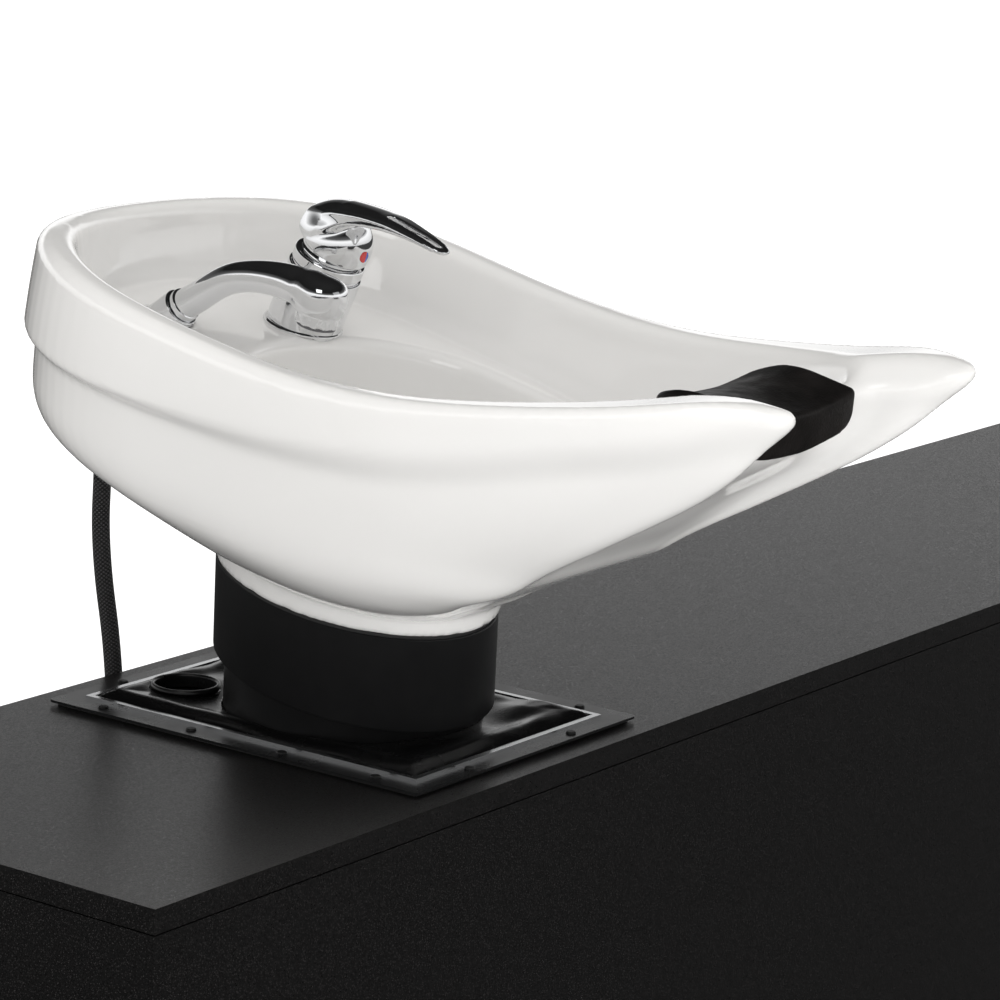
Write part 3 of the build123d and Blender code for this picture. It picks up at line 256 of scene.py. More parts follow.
def make_board():
    m = Nodes("board", (0.022, 0.021, 0.021), 0.5)
    m.colour(m.ramp(m.noise(300, 4.0), [(0.3, (0.018, 0.017, 0.017)), (0.7, (0.034, 0.032, 0.032))]))
    m.roughness(m.span(m.noise(20), 0.45, 0.6))
    m.bump(m.noise(700), 0.00008)
    return m.material


def make_ceramic():
    m = Nodes("ceramic", (0.80, 0.79, 0.775), 0.09, coat=0.6, coat_rough=0.03)
    m.colour(m.ramp(m.noise(2.2, 3.0), [(0.3, (0.79, 0.782, 0.767)), (0.7, (0.825, 0.818, 0.806))]))
    m.roughness(m.span(m.noise(9, 4.0), 0.07, 0.14))
    m.bump(m.noise(30, 3.0), 0.00016, 0.6)
    m.bump(m.noise(420, 2.0), 0.00002, 0.4)
    return m.material


def make_chrome():
    m = Nodes("chrome", (0.77, 0.775, 0.785), 0.045, metal=1.0)
    m.roughness(m.span(m.noise(60, 4.0), 0.035, 0.085))
    m.bump(m.noise(140, 2.0), 0.00001, 0.4)
    return m.material


def make_steel(name, base, low, high):
    m = Nodes(name, base, low, metal=1.0)
    m.roughness(m.span(m.noise(80, 4.0, stretch=(1, 14, 1)), low, high))
    m.bump(m.noise(420, 3.0, stretch=(1, 10, 1)), 0.00003)
    return m.material


def make_painted(name, base, low, high, grain, depth, specular=0.5, tint=1.35):
    """Paint, plastic or rubber with a fine moulded grain."""
    m = Nodes(name, base, low, specular=specular)
    lighter = tuple(c * tint for c in base)
    m.colour(m.ramp(m.noise(grain / 12, 3.0), [(0.3, base), (0.75, lighter)]))
    m.roughness(m.span(m.noise(grain / 30, 4.0), low, high))
    m.bump(m.noise(grain, 3.0), depth)
    return m.material


def make_vinyl():
    m = Nodes("skirt_vinyl", (0.0025, 0.0025, 0.0026), 0.2, coat=0.0, coat_rough=0.12, specular=0.16)
    m.roughness(m.span(m.noise(26, 5.0), 0.14, 0.34))
    m.bump(m.noise(34, 4.0, distortion=0.6), 0.0006, 0.5)
    m.bump(m.cells(900), 0.00003, 0.5)
    return m.material


def make_leather():
    m = Nodes("rest_leather", (0.010, 0.0088, 0.0085), 0.45, specular=0.08)
    m.colour(m.ramp(m.noise(40, 5.0), [(0.3, (0.006, 0.0053, 0.005)), (0.7, (0.014, 0.0122, 0.0115))]))
    m.roughness(m.span(m.noise(60, 5.0), 0.40, 0.60))
    m.bump(m.noise(28, 5.0, distortion=1.2), 0.0012, 0.45)
    m.bump(m.cells(520), 0.00022, 0.6)
    return m.material


def make_braid():
    """A woven sheath: two families of strands round the tube, from its own lengthwise map."""
    m = Nodes("hose_braid", (0.02, 0.02, 0.021), 0.45)
    both = m.add("ShaderNodeSeparateXYZ")
    m.link(m.add("ShaderNodeTexCoord").outputs["UV"], both.inputs[0])
    round_it, along = both.outputs[0], both.outputs[1]
    turns, runs = 12.0, 300.0
    one = m.math("ADD", m.math("MULTIPLY", round_it, turns), m.math("MULTIPLY", along, runs))
    two = m.math("SUBTRACT", m.math("MULTIPLY", round_it, turns), m.math("MULTIPLY", along, runs))
    waved = [m.math("ABSOLUTE", m.math("SINE", m.math("MULTIPLY", way, math.pi))) for way in (one, two)]
    woven = m.math("MULTIPLY", *waved)
    # Colour follows the weave's height: painted shade between the strands and a painted sheen on their crests.
    m.colour(m.ramp(woven, [(0.0, (0.004, 0.004, 0.004)), (0.5, (0.020, 0.019, 0.019)), (1.0, (0.075, 0.073, 0.075))]))
    m.roughness(m.span(woven, 0.6, 0.34, 0.0, 1.0))
    m.bump(woven, 0.0007, 0.9)
    return m.material


def make_dot():
    """Red on one side and blue on the other, by the dot's own place."""
    m = Nodes("temperature_enamel", (0.6, 0.02, 0.02), 0.15, coat=0.6)
    parts = m.add("ShaderNodeSeparateXYZ")
    m.link(m.place, parts.inputs[0])
    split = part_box("temperature_dot")
    middle = (split[0].x + split[1].x) / 2
    blue_from = 0.0012
    side = m.math("GREATER_THAN", parts.outputs[0], middle + blue_from)
    m.colour(m.ramp(side, [(0.0, (0.62, 0.015, 0.012)), (1.0, (0.02, 0.07, 0.42))]))
    m.bump(m.noise(500), 0.00002)
    return m.material


# A bright metal strip on the lip where a lamp's reflection shows: a painted reflection.
def make_reflection_strip():
    m = Nodes("bright_edge", (0.86, 0.87, 0.88), 0.10, metal=1.0)
    m.roughness(m.span(m.noise(50, 3.0), 0.10, 0.18))
    m.bump(m.noise(90, 2.0), 0.00001, 0.4)
    return m.material


materials = {
    "laminate": make_laminate(),
    "board": make_board(),
    "screws": make_steel("zinc_screws", (0.62, 0.62, 0.63), 0.25, 0.42),
    "black_screws": make_painted("black_screws", (0.005, 0.005, 0.005), 0.35, 0.5, 800, 0.00004, specular=0.3),
    "hinge_steel": make_steel("hinge_steel", (0.55, 0.55, 0.56), 0.24, 0.4),
    "black_plastic": make_painted("black_plastic", (0.018, 0.018, 0.018), 0.38, 0.5, 700, 0.00005),
    "black_rubber": make_painted("black_rubber", (0.018, 0.018, 0.018), 0.6, 0.78, 500, 0.00008),
    "black_gloss": make_painted("black_gloss", (0.004, 0.004, 0.0042), 0.22, 0.34, 420, 0.00004, specular=0.36),
    "bright_edge": make_reflection_strip(),
    "skirt_vinyl": make_vinyl(),
    "steel_plate": make_painted("powder_coat", (0.03, 0.03, 0.031), 0.42, 0.55, 900, 0.00007),
    "black_tube": make_painted("black_tube", (0.0035, 0.0035, 0.0037), 0.36, 0.46, 900, 0.00005, specular=0.22),
    "bush_plastic": make_painted("bush_plastic", (0.72, 0.71, 0.68), 0.4, 0.5, 500, 0.00004, tint=1.05),
    "glazed_basin": make_ceramic(),
    "chrome": make_chrome(),
    "brass_nut": make_steel("brass", (0.72, 0.55, 0.27), 0.22, 0.38),
    "grey_plastic": make_painted("grey_plastic", (0.62, 0.62, 0.61), 0.35, 0.45, 500, 0.00004, tint=1.08),
    "red_dot": make_dot(),
    "grey_rubber": make_painted("grey_rubber", (0.10, 0.10, 0.105), 0.55, 0.7, 600, 0.00006),
    "hose_black": make_braid(),
    "rest_black": make_leather(),
}


# Dressing of the CAD nodes that stay

slot_of = {row["node"]: row["material_slot"] for row in frame["record"]["subparts"]}
body_of = {node: body for body, members in frame["record"]["behaviour"]["bodies"].items() for node in members}


bevel_angle = 40


def dress(node, bevel=0.0):
    o = nodes[node]
    o.data.materials.clear()
    o.data.materials.append(materials[slot_of[node]])
    for polygon in o.data.polygons:
        polygon.material_index = 0
    if bevel:
        cut = o.modifiers.new("edge", "BEVEL")
        cut.width = bevel / METRE
        cut.segments = 3
        cut.limit_method = "ANGLE"
        cut.angle_limit = math.radians(bevel_angle)
        cut.harden_normals = True


bevels = {
    "cabinet_top": 0.9, "front_panel": 0.9, "end_panels": 0.9, "rear_panels": 0.7, "service_door": 0.9, "plinth": 0.7,
    "mounting_frame": 0.35, "bright_strip": 0.9,
}
for name in nodes:
    dress(name, bevels.get(name, 0.0))


# Mesh makers


def new_piece(name, points, faces, node, material=None, smooth=True, replaced=True):
    """A mesh piece in metres that takes a node's slot."""
    mesh = bpy.data.meshes.new(name)
    mesh.from_pydata([tuple(p) for p in np.asarray(points, float)], [], [tuple(int(k) for k in f) for f in faces])
    mesh.update()
    mesh.materials.append(material or materials[slot_of[node]])
    mesh.polygons.foreach_set("use_smooth", [smooth] * len(mesh.polygons))
    o = linked(name, mesh)
    if replaced:
        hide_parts(node)
    return o


def riding(o, node):
    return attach(o, body_of[node])


def softened(points, radius, steps=5):
    """A closed profile with its corners rounded."""
    out = []
    count = len(points)
    for k in range(count):
        a, b, c = (np.array(points[(k + d) % count], float) for d in (-1, 0, 1))
        r = radius[k] if hasattr(radius, "__len__") else radius
        u, v = a - b, c - b
        cut = min(r, 0.45 * np.linalg.norm(u), 0.45 * np.linalg.norm(v))
        if cut <= 0.01:
            out.append(b)
            continue
        start, end = b + u / np.linalg.norm(u) * cut, b + v / np.linalg.norm(v) * cut
        for t in np.linspace(0, 1, steps):
            out.append((1 - t) ** 2 * start + 2 * t * (1 - t) * b + t * t * end)
    return out


def lathe(profile, place, sides=96):
    """Points and faces of a closed profile (radius, height) turned about the place's +Z."""
    profile = np.array(profile, float)
    count = len(profile)
    turns = np.linspace(0, 2 * math.pi, sides, endpoint=False)
    ring = np.stack([np.cos(turns), np.sin(turns)], 1)
    points = np.concatenate([np.column_stack([ring * r, np.full(sides, z)]) for r, z in profile])
    faces = []
    for k in range(count):
        n = (k + 1) % count
        if profile[k][0] < 1e-4 and profile[n][0] < 1e-4:
            continue
        for s in range(sides):
            t = (s + 1) % sides
            faces.append((k * sides + s, k * sides + t, n * sides + t, n * sides + s))
    return mapped(place, points), faces


def cleaned(o, merge=0.00001):
    """Points on one spot become one, and faces look outward."""
    b = bmesh.new()
    b.from_mesh(o.data)
    bmesh.ops.remove_doubles(b, verts=b.verts, dist=merge)
    bmesh.ops.dissolve_degenerate(b, edges=b.edges, dist=merge / 10)
    bmesh.ops.recalc_face_normals(b, faces=b.faces)
    b.to_mesh(o.data)
    b.free()
    o.data.update()
    return o


def turned(name, node, profile, place, radius=0.6, sides=96, replaced=True, angle=35):
    points, faces = lathe(softened(profile, radius), place, sides)
    o = cleaned(new_piece(name, points, faces, node, replaced=replaced))
    o.data.set_sharp_from_angle(angle=math.radians(angle))
    return riding(o, node)


# Distance fields: below nought is inside


def and_round(a, b, r):
    """Both at once, with the edge between them rounded."""
    return np.minimum(np.maximum(a, b), -r) + np.hypot(np.maximum(a + r, 0), np.maximum(b + r, 0))


def or_round(a, b, r):
    """Either, with a hollow fillet between them."""
    return np.maximum(np.minimum(a, b), r) - np.hypot(np.maximum(r - a, 0), np.maximum(r - b, 0))


def net(field, origin, step):
    """Points and four-sided faces on the field's zero surface."""
    inside = field < 0
    shape = np.array(field.shape) - 1
    corners = [(i, j, k) for i in (0, 1) for j in (0, 1) for k in (0, 1)]
    total = np.zeros(shape, np.int8)
    for i, j, k in corners:
        total += inside[i:shape[0] + i, j:shape[1] + j, k:shape[2] + k]
    cells = np.argwhere((total > 0) & (total < 8))
    index = np.full(shape, -1, np.int64)
    index[tuple(cells.T)] = np.arange(len(cells))
    spot, hits = np.zeros((len(cells), 3)), np.zeros(len(cells))
    for a in corners:
        for axis in range(3):
            if a[axis]:
                continue
            b = list(a)
            b[axis] = 1
            fa, fb = field[tuple((cells + a).T)], field[tuple((cells + b).T)]
            cross = (fa < 0) != (fb < 0)
            share = np.where(cross, fa / np.where(cross, fa - fb, 1), 0)
            at = cells + np.array(a, float)
            at[:, axis] += share
            spot[cross] += at[cross]
            hits[cross] += 1
    points = np.asarray(origin, float) + step * spot / hits[:, None]
    faces = []
    for axis in range(3):
        u, v = (axis + 1) % 3, (axis + 2) % 3
        at = np.argwhere(np.diff(inside, axis=axis))
        at = at[(at[:, u] > 0) & (at[:, v] > 0) & (at[:, u] < shape[u]) & (at[:, v] < shape[v])]
        out = inside[tuple(at.T)]
        step_u, step_v = np.eye(3, dtype=int)[[u, v]]
        quad = np.stack([index[tuple(p.T)] for p in (at, at - step_u, at - step_u - step_v, at - step_v)], 1)
        quad[~out] = quad[~out][:, ::-1]
        faces.append(quad)
    return points, np.concatenate(faces)


def neighbours(faces, count):
    """Both ends of every side of four-sided faces, each way round, and how many ends each point has."""
    sides = np.concatenate([faces[:, [0, 1]], faces[:, [1, 2]], faces[:, [2, 3]], faces[:, [3, 0]]])
    ends = np.concatenate([sides, sides[:, ::-1]])
    return ends, np.bincount(ends[:, 0], minlength=count)[:, None]


def middles(points, ends, near):
    """The mean of each point's neighbours."""
    return np.stack([np.bincount(ends[:, 0], points[ends[:, 1], k], len(points)) for k in range(3)], 1) / near


def settled(points, faces, measure, rounds=3, relax=2):
    """Points moved onto measure's zero, after a light smoothing of the net."""
    ends, near = neighbours(faces, len(points))
    for _ in range(relax):
        points = onto(0.5 * points + 0.5 * middles(points, ends, near), measure, rounds)
    return points


def onto(points, measure, rounds=3, h=0.05):
    """Points moved along measure's slope to its zero."""
    for _ in range(rounds):
        here = measure(points)
        slope = np.stack([
            (measure(points + np.eye(3)[k] * h) - measure(points - np.eye(3)[k] * h)) / (2 * h) for k in range(3)], 1)
        size = np.maximum((slope ** 2).sum(1), 0.05)
        move = slope * np.clip(here / size, -2.0, 2.0)[:, None]
        points = points - move
    return points


def field_piece(name, node, measure, low, high, step, place, replaced=True, relax=2):
    """A piece on the zero surface of measure, a function of points in millimetres."""
    spots = np.meshgrid(*[np.arange(a, b + step, step) for a, b in zip(low, high)], indexing="ij")
    flat = np.stack([s.ravel() for s in spots], 1)
    values = measure(flat).reshape(spots[0].shape)
    points, faces = net(values, low, step)
    points = settled(points, faces, measure, relax=relax)
    return new_piece(name, mapped(place, points), faces, node, replaced=replaced)


def spline_through(knots, values):
    """A natural cubic spline through values at knots, as a function."""
    knots, values = np.asarray(knots, float), np.asarray(values, float)
    order = np.argsort(knots)
    knots, values = knots[order], values[order]
    n = len(knots)
    h = np.diff(knots)
    m = np.eye(n)
    d = np.zeros((n,) + values.shape[1:])
    for k in range(1, n - 1):
        m[k, k - 1], m[k, k], m[k, k + 1] = h[k - 1], 2 * (h[k - 1] + h[k]), h[k]
        d[k] = 6 * ((values[k + 1] - values[k]) / h[k] - (values[k] - values[k - 1]) / h[k - 1])
    bend = np.linalg.solve(m, d.reshape(n, -1)).reshape(d.shape)

    def at(x):
        x = np.clip(np.asarray(x, float), knots[0], knots[-1])
        k = np.clip(np.searchsorted(knots, x) - 1, 0, n - 2)
        a, b = knots[k + 1] - x, x - knots[k]
        w = h[k]
        if values.ndim > 1:
            extra = (1,) * (values.ndim - 1)
            a, b, w = (q.reshape(q.shape + extra) for q in (a, b, w))
        cubic = (bend[k] * a ** 3 + bend[k + 1] * b ** 3) / (6 * w)
        return cubic + (values[k] / w - bend[k] * w / 6) * a + (values[k + 1] / w - bend[k + 1] * w / 6) * b

    return at


def closed_curve(points, fine=5):
    """A smooth closed line through points, as a finer closed line."""
    points = np.asarray(points, float)
    run = np.concatenate([points, points[:1]])
    h = np.linalg.norm(np.diff(run, axis=0), axis=1)
    n = len(points)
    m, d = np.zeros((n, n)), np.zeros((n, 2))
    for k in range(n):
        before, after = h[k - 1], h[k]
        m[k, k - 1] += before
        m[k, k] += 2 * (before + after)
        m[k, (k + 1) % n] += after
        d[k] = 6 * ((run[k + 1] - run[k]) / after - (points[k] - points[k - 1]) / before)
    bend = np.linalg.solve(m, d)
    bend = np.concatenate([bend, bend[:1]])
    out = []
    for k in range(n):
        for t in np.linspace(0, h[k], fine, endpoint=False):
            a, b, w = h[k] - t, t, h[k]
            cubic = (bend[k] * a ** 3 + bend[k + 1] * b ** 3) / (6 * w)
            out.append(cubic + (run[k] / w - bend[k] * w / 6) * a + (run[k + 1] / w - bend[k + 1] * w / 6) * b)
    return np.array(out)


def flat_distance(px, py, line, closed=False):
    """Distance in the plane from points to a line, below nought inside it. An open line ends on x = 0."""
    a = line if closed else line[:-1]
    b = np.roll(line, -1, axis=0) if closed else line[1:]
    d = b - a
    long = np.maximum((d ** 2).sum(1), 1e-12)
    best = np.full(px.shape, 1e18)
    odd = np.zeros(px.shape, bool)
    for k in range(len(a)):
        dx, dy = px - a[k, 0], py - a[k, 1]
        t = np.clip((dx * d[k, 0] + dy * d[k, 1]) / long[k], 0, 1)
        dx -= t * d[k, 0]
        dy -= t * d[k, 1]
        np.minimum(best, dx * dx + dy * dy, out=best)
        if d[k, 1] != 0:
            over = (a[k, 1] > py) != (b[k, 1] > py)
            odd ^= over & (px < d[k, 0] * (py - a[k, 1]) / d[k, 1] + a[k, 0])
    best = np.sqrt(best)
    return np.where(odd, -best, best)


# Basin: the same level tables as the CAD's shell

half_width, back_reach, front_reach, horn_height = 207.0, 314.0, 384.0, 386.0
rim_height = 283.0
sleeve_length = 70
foot_p = sleeve_length * math.tan(math.radians(tilt))
belly_low, foot_low, foot_high, foot_radius = 90.0, 72.0, 97.0, 113.0
well_low, well_half, well_back = 98.04, 128.0, 131.0
hollow_front, hollow_low, hollow_high = 136.0, 152.0, 208.0
hatch_half, hatch_p, hatch_reach, hatch_high = 82.0, 222.5, 47.5, 157.0
past_back, past_nose = 351, -421
notch_low, notch_radius = 328.5, 271.5
notch_axis = notch_low + notch_radius
outer_levels = (
    (0.233, 0.560, 0.420, 0.262, 0.25, 1.00, 0.05, 0.0),
    (0.267, 0.700, 0.600, 0.290, 0.40, 1.00, 0.09, 0.3),
    (0.306, 0.820, 0.790, 0.335, 0.50, 1.00, 0.17, 0.6),
    (0.345, 0.905, 0.930, 0.384, 0.53, 1.00, 0.28, 0.8),
    (0.389, 0.945, 0.980, 0.450, 0.52, 1.00, 0.36, 0.9),
    (0.453, 0.965, 0.997, 0.520, 0.50, 0.98, 0.38, 1.0),
    (0.531, 0.982, 1.000, 0.608, 0.50, 0.95, 0.39, 1.0),
    (0.648, 1.000, 1.000, 0.744, 0.50, 0.913, 0.39, 1.0),
    (0.777, 1.000, 1.000, 0.880, 0.52, 0.889, 0.39, 1.0),
    (0.894, 1.000, 1.000, 0.968, 0.55, 0.80, 0.39, 1.0),
    (1.060, 1.000, 1.000, 1.005, 0.56, 0.76, 0.39, 1.0),
)
dish_levels = (
    (0.575, 0.797, 0.885, 0.480, 0.50, 1.00, 0.39, 1.0),
    (0.648, 0.865, 0.930, 0.560, 0.50, 0.99, 0.39, 1.0),
    (0.733, 0.915, 0.952, 0.660, 0.49, 0.98, 0.39, 1.0),
    (0.820, 0.925, 0.958, 0.745, 0.47, 0.945, 0.39, 1.0),
    (0.910, 0.925, 0.958, 0.800, 0.45, 0.886, 0.39, 1.0),
    (1.070, 0.925, 0.958, 0.820, 0.44, 0.865, 0.39, 1.0),
)
well_levels = (
    (0.254, 0.40, 0.40, 0.125, 0.30, 1.00, 0.05, 0.2),
    (0.290, 0.58, 0.58, 0.185, 0.40, 1.00, 0.08, 0.6),
    (0.370, 0.80, 0.83, 0.300, 0.48, 1.00, 0.10, 0.9),
    (0.470, 0.93, 0.95, 0.400, 0.50, 1.00, 0.12, 1.0),
    (0.583, 1.00, 1.00, 0.488, 0.52, 1.00, 0.14, 1.0),
)


def outline(half, back, front, corner_share, middle_share, widest_share, square):
    widest, corner, middle = back * widest_share, half * corner_share, front * middle_share
    flank_power, end_power = 2.0 + 1.3 * square, 0.5 + 0.3 * square
    right = []
    for share in (0.20, 0.40, 0.60, 0.80):
        angle = share * math.pi / 2
        right.append((half * math.sin(angle), widest + (back - widest) * math.cos(angle)))
    right.append((half, widest))
    for run in (0.14, 0.28, 0.42, 0.56, 0.69, 0.80, 0.89, 0.95, 0.985):
        x = corner + (half - corner) * (1 - run ** flank_power) ** end_power
        right.append((x, widest - (front + widest) * run))
    for share in (0.97, 0.90, 0.80, 0.66, 0.45, 0.22):
        right.append((corner * share, -(middle + (front - middle) * share ** 8)))
    left = [(-x, y) for x, y in reversed(right)]
    return [(0, back)] + right + [(0, -middle)] + left


def level_lines(levels, half, back, front):
    knots = [row[0] * horn_height for row in levels]
    rings = [outline(half * row[1], back * row[2], front * row[3], *row[4:]) for row in levels]
    return spline_through(knots, rings), knots[0], knots[-1]


def body_distance(levels, half, back, front, xs, ps, qs):
    """Distance to a body through its levels, on a grid whose xs are at or right of the middle."""
    lines, low, high = level_lines(levels, half, back, front)
    px, py = (g.ravel() for g in np.meshgrid(xs, ps, indexing="ij"))
    out = np.zeros((len(xs), len(ps), len(qs)), np.float32)
    done = None
    for k, q in enumerate(qs):
        q = min(max(q, low), high)
        if q == done:
            out[:, :, k] = out[:, :, k - 1]
            continue
        line = closed_curve(lines(np.array([q]))[0], 4)
        right = line[:len(line) // 2 + 1]
        out[:, :, k] = flat_distance(px, py, right).reshape(len(xs), len(ps))
        done = q
    slope = np.gradient(out, qs[1] - qs[0], axis=2)
    return out / np.sqrt(1 + slope ** 2)


def line_above(points, ps, qs):
    """How far the grid lies above a line in the side view."""
    line = spline_through([p for p, _ in points], [q for _, q in points])
    high = line(ps)
    slope = np.gradient(high, ps)
    return ((qs[None, :] - high[:, None]) / np.sqrt(1 + slope[:, None] ** 2))[None, :, :]


rise = horn_height - rim_height


def side_points(at_back, shares, at_nose):
    """Points of the side view, by shares of the reach and of the rise above the rim's height."""
    inner = [((back_reach if p > 0 else front_reach) * p, rim_height + rise * q) for p, q in shares]
    return [(past_back, rim_height + rise * at_back)] + inner + [(past_nose, rim_height + rise * at_nose)]


rim_points = side_points(-0.20, [
    (0.90, -0.04), (0.60, 0), (0, -0.01), (-0.28, 0.135), (-0.50, 0.37), (-0.74, 0.69), (-0.90, 0.905)], 0.94)
step_points = side_points(-0.78, [
    (0.60, -0.73), (0, -0.56), (-0.25, -0.37), (-0.44, -0.14), (-0.62, 0.15), (-0.78, 0.42), (-0.92, 0.70)], 0.90)


def notch_line():
    """The neck notch seen from the front, as a closed line above the neck."""
    half, wide, high, far_above = 80.0, 132.0, 399.0, 520
    turns = np.linspace(0, math.asin(half / notch_radius), 14)
    arc = [(notch_radius * math.sin(t), notch_axis - notch_radius * math.cos(t)) for t in turns]
    start, end = np.array(arc[-1]), np.array((wide, high))
    slope = math.tan(turns[-1])
    gap = np.linalg.norm(end - start)
    u = np.array((1, slope)) / math.hypot(1, slope) * gap
    v = np.array((1, 4 * slope)) / math.hypot(1, 4 * slope) * gap
    for t in np.linspace(0, 1, 12)[1:]:
        h = (2 * t ** 3 - 3 * t ** 2 + 1, t ** 3 - 2 * t ** 2 + t, 3 * t ** 2 - 2 * t ** 3, t ** 3 - t ** 2)
        arc.append(tuple(h[0] * start + h[1] * u + h[2] * end + h[3] * v))
    arc += [(wide + 4, high + 30), (wide + 4, far_above)]
    left = [(-x, q) for x, q in reversed(arc[1:])]
    return np.array(left + arc)


def capped_rod(x, p, q, radius, low, high):
    return np.maximum(np.hypot(x, p) - radius, np.maximum(low - q, q - high))


def along(x, p, q, sx, sp, lean):
    """Coordinates in the axes of something that leans on the deck."""
    c, s = math.cos(math.radians(lean)), math.sin(math.radians(lean))
    dp, dq = p - sp, q - deck
    return x - sx, dp * c + dq * s, -dp * s + dq * c


def make_basin_mesh(step):
    band = 10.0
    margin = 3 * step
    xs = np.arange(0, half_width + band + margin, step)
    ps = np.arange(-front_reach - band - margin, back_reach + band + margin, step)
    qs = np.arange(foot_low - margin, horn_height + 12 + margin, step)
    outer = body_distance(outer_levels, half_width, back_reach, front_reach, xs, ps, qs)
    dish = body_distance(dish_levels, half_width, back_reach, front_reach, xs, ps, qs)
    well = body_distance(well_levels, well_half, well_back, front_reach, xs, ps, qs)
    above_rim = line_above(rim_points, ps, qs)
    above_step = line_above(step_points, ps, qs)
    x, p, q = xs[:, None, None], ps[None, :, None], qs[None, None, :]
    flat = 0 * x + 0 * p
    base = and_round(outer, belly_low - q + flat, 4.0)
    foot = and_round(np.hypot(x, p - foot_p) - foot_radius, np.maximum(foot_low - q, q - foot_high), 1.5)
    shell = or_round(base, foot, 5.0)
    fade = np.clip((150.0 - p) / 260.0, 0, 1) + 0 * q
    lip = and_round(outer - band + 2.5 * fade, -above_step, 6.0 + 7.0 * fade)
    shell = or_round(shell, lip, 7.0 + 14.0 * fade)
    nose = np.clip((-p - 300.0) / 75.0, 0, 1)
    edge = 11.0 + 2.0 * nose * nose * (3 - 2 * nose)
    shell = and_round(shell, above_rim + 0 * x, edge)
    room = and_round(dish, deck - q + flat, 13.0)
    deep = and_round(well, well_low - q + flat, 6.0)
    room = or_round(room, deep, 9.0)
    shell = and_round(shell, -room, 10.0)
    nx, nq = (g.ravel() for g in np.meshgrid(xs, qs, indexing="ij"))
    notch = flat_distance(nx, nq, notch_line(), closed=True).reshape(len(xs), 1, len(qs))
    notch = np.maximum(notch, p)
    shell = and_round(shell, -notch, 9.0)
    shell = np.concatenate([shell[:0:-1], shell]).astype(np.float32)
    xs = np.concatenate([-xs[:0:-1], xs])
    x = xs[:, None, None]
    level = closed_curve(outline(168.0, 281.0, hollow_front, 0.5, 1.0, 0.3, 1.0), 3)
    cx, cp = (g.ravel() for g in np.meshgrid(xs, ps, indexing="ij"))
    hollow = flat_distance(cx, cp, level, closed=True).reshape(len(xs), len(ps), 1)
    hollow = np.maximum(np.maximum(hollow, hollow_front - p), np.maximum(hollow_low - q, q - hollow_high))
    hatch = np.maximum(np.abs(x) - hatch_half, np.abs(p - hatch_p) - hatch_reach)
    hatch = np.maximum(hatch, q - hatch_high)
    shell = and_round(shell, -np.minimum(hollow, hatch), 3.0)
    tap_hole = *along(x, p, q, tap_x, tap_p, tap_lean), 12.3, -42, 14
    shower_hole = *along(x, p, q, socket_x, socket_p, socket_lean), 15.8, -56, 56
    for hole in ((x, p, q, 41.0, 0.0, 84.0), (x, p, q, 21.15, 0.0, 120.0), tap_hole, shower_hole):
        shell = np.maximum(shell, -capped_rod(*hole))
    return shell.astype(np.float32), (xs[0], ps[0], qs[0])


def evened(points, faces, rounds, pull=0.5, push=-0.53):
    """Small ripples smoothed away without shrinking the form."""
    ends, near = neighbours(faces, len(points))
    for _ in range(rounds):
        for share in (pull, push):
            points = points + share * (middles(points, ends, near) - points)
    return points


basin_step = 3.2
basin_field, basin_origin = make_basin_mesh(basin_step)
basin_points, basin_faces = net(basin_field, basin_origin, basin_step)
basin_points = evened(basin_points, basin_faces, 4)
basin = new_piece("basin_glazed", mapped(BASIN, basin_points), basin_faces, "basin")
riding(basin, "basin")
del basin_field


# Neck rest: a soft saddle, turned about the notch's own axis

rest_low, rest_high = 328.7, 338.0
rest_back, rest_crown, rest_fold, rest_front, flap_low = -238, -270, -313.5, -321.5, 305
rest_arc, rest_half, rest_back_half = 267.0, 75.0, 50.5
rest_side = np.array(softened(
    [(rest_back, rest_low - 13), (rest_crown, rest_low), (rest_fold, rest_low), (rest_fold, flap_low),
     (rest_front, flap_low), (rest_front, rest_high), (rest_crown, rest_high), (rest_back, rest_high - 13)],
    [3.0, 14.0, 1.5, 3.5, 3.5, 6.0, 16.0, 4.0], 7))


def rest_distance(points):
    x, p, q = points.T
    level = notch_axis - np.hypot(x, notch_axis - q)
    turn_x = rest_arc * np.arctan2(x, notch_axis - q)
    side = flat_distance(p, level, rest_side, closed=True)
    puff = np.clip(1 - (turn_x / 78.0) ** 2, 0, 1)
    ripple = 0.35 * np.sin(turn_x * 0.13 + 1.3 * np.sin(p * 0.08)) * np.cos(p * 0.11 + 0.7)
    side = side - 0.5 * puff + 0.5 + ripple * puff * 0.6
    out_x, corner_p, flap_x, flap_level = np.abs(turn_x), -262.0, 61.0, 319.0
    corner = np.hypot(np.maximum(out_x - rest_back_half, 0), np.maximum(p - corner_p, 0)) - 25.0
    wide = np.where(p > corner_p, corner, out_x - rest_half)
    low_corner = np.hypot(np.maximum(out_x - flap_x, 0), np.maximum(flap_level - level, 0)) - 14.0
    wide = np.where((level < flap_level) & (out_x > flap_x), np.maximum(wide, low_corner), wide)
    return and_round(side, wide, 4.0)


rest = field_piece("neck_rest_pad", "neck_rest", rest_distance, (-84, -326, 300), (84, -232, 362), 2.0, BASIN)
riding(rest, "neck_rest")


# Column: the tilting sleeve and the fixed tube inside it

# The sleeve stands upright in the room, so it is sheared in the basin's own axes
upright = np.eye(4)
upright[1, 1] = 1 / math.cos(math.radians(tilt))
upright[1, 2] = math.tan(math.radians(tilt))
tube_radius, tube_top = 101, 66


def wall(inner, outer, high):
    """A tube's wall as a profile."""
    return [(inner, 0), (outer, 0), (outer, high), (inner, high)]


turned("tilt_sleeve_tube", "tilt_sleeve", wall(107.8, 110, sleeve_length), BASIN @ upright, 0.7, 160)
turned("base_tube_wall", "base_tube", wall(98, tube_radius, tube_top), COLUMN, 0.8, 160)


# Splash skirt: a slack vinyl sheet with a turned-up lip

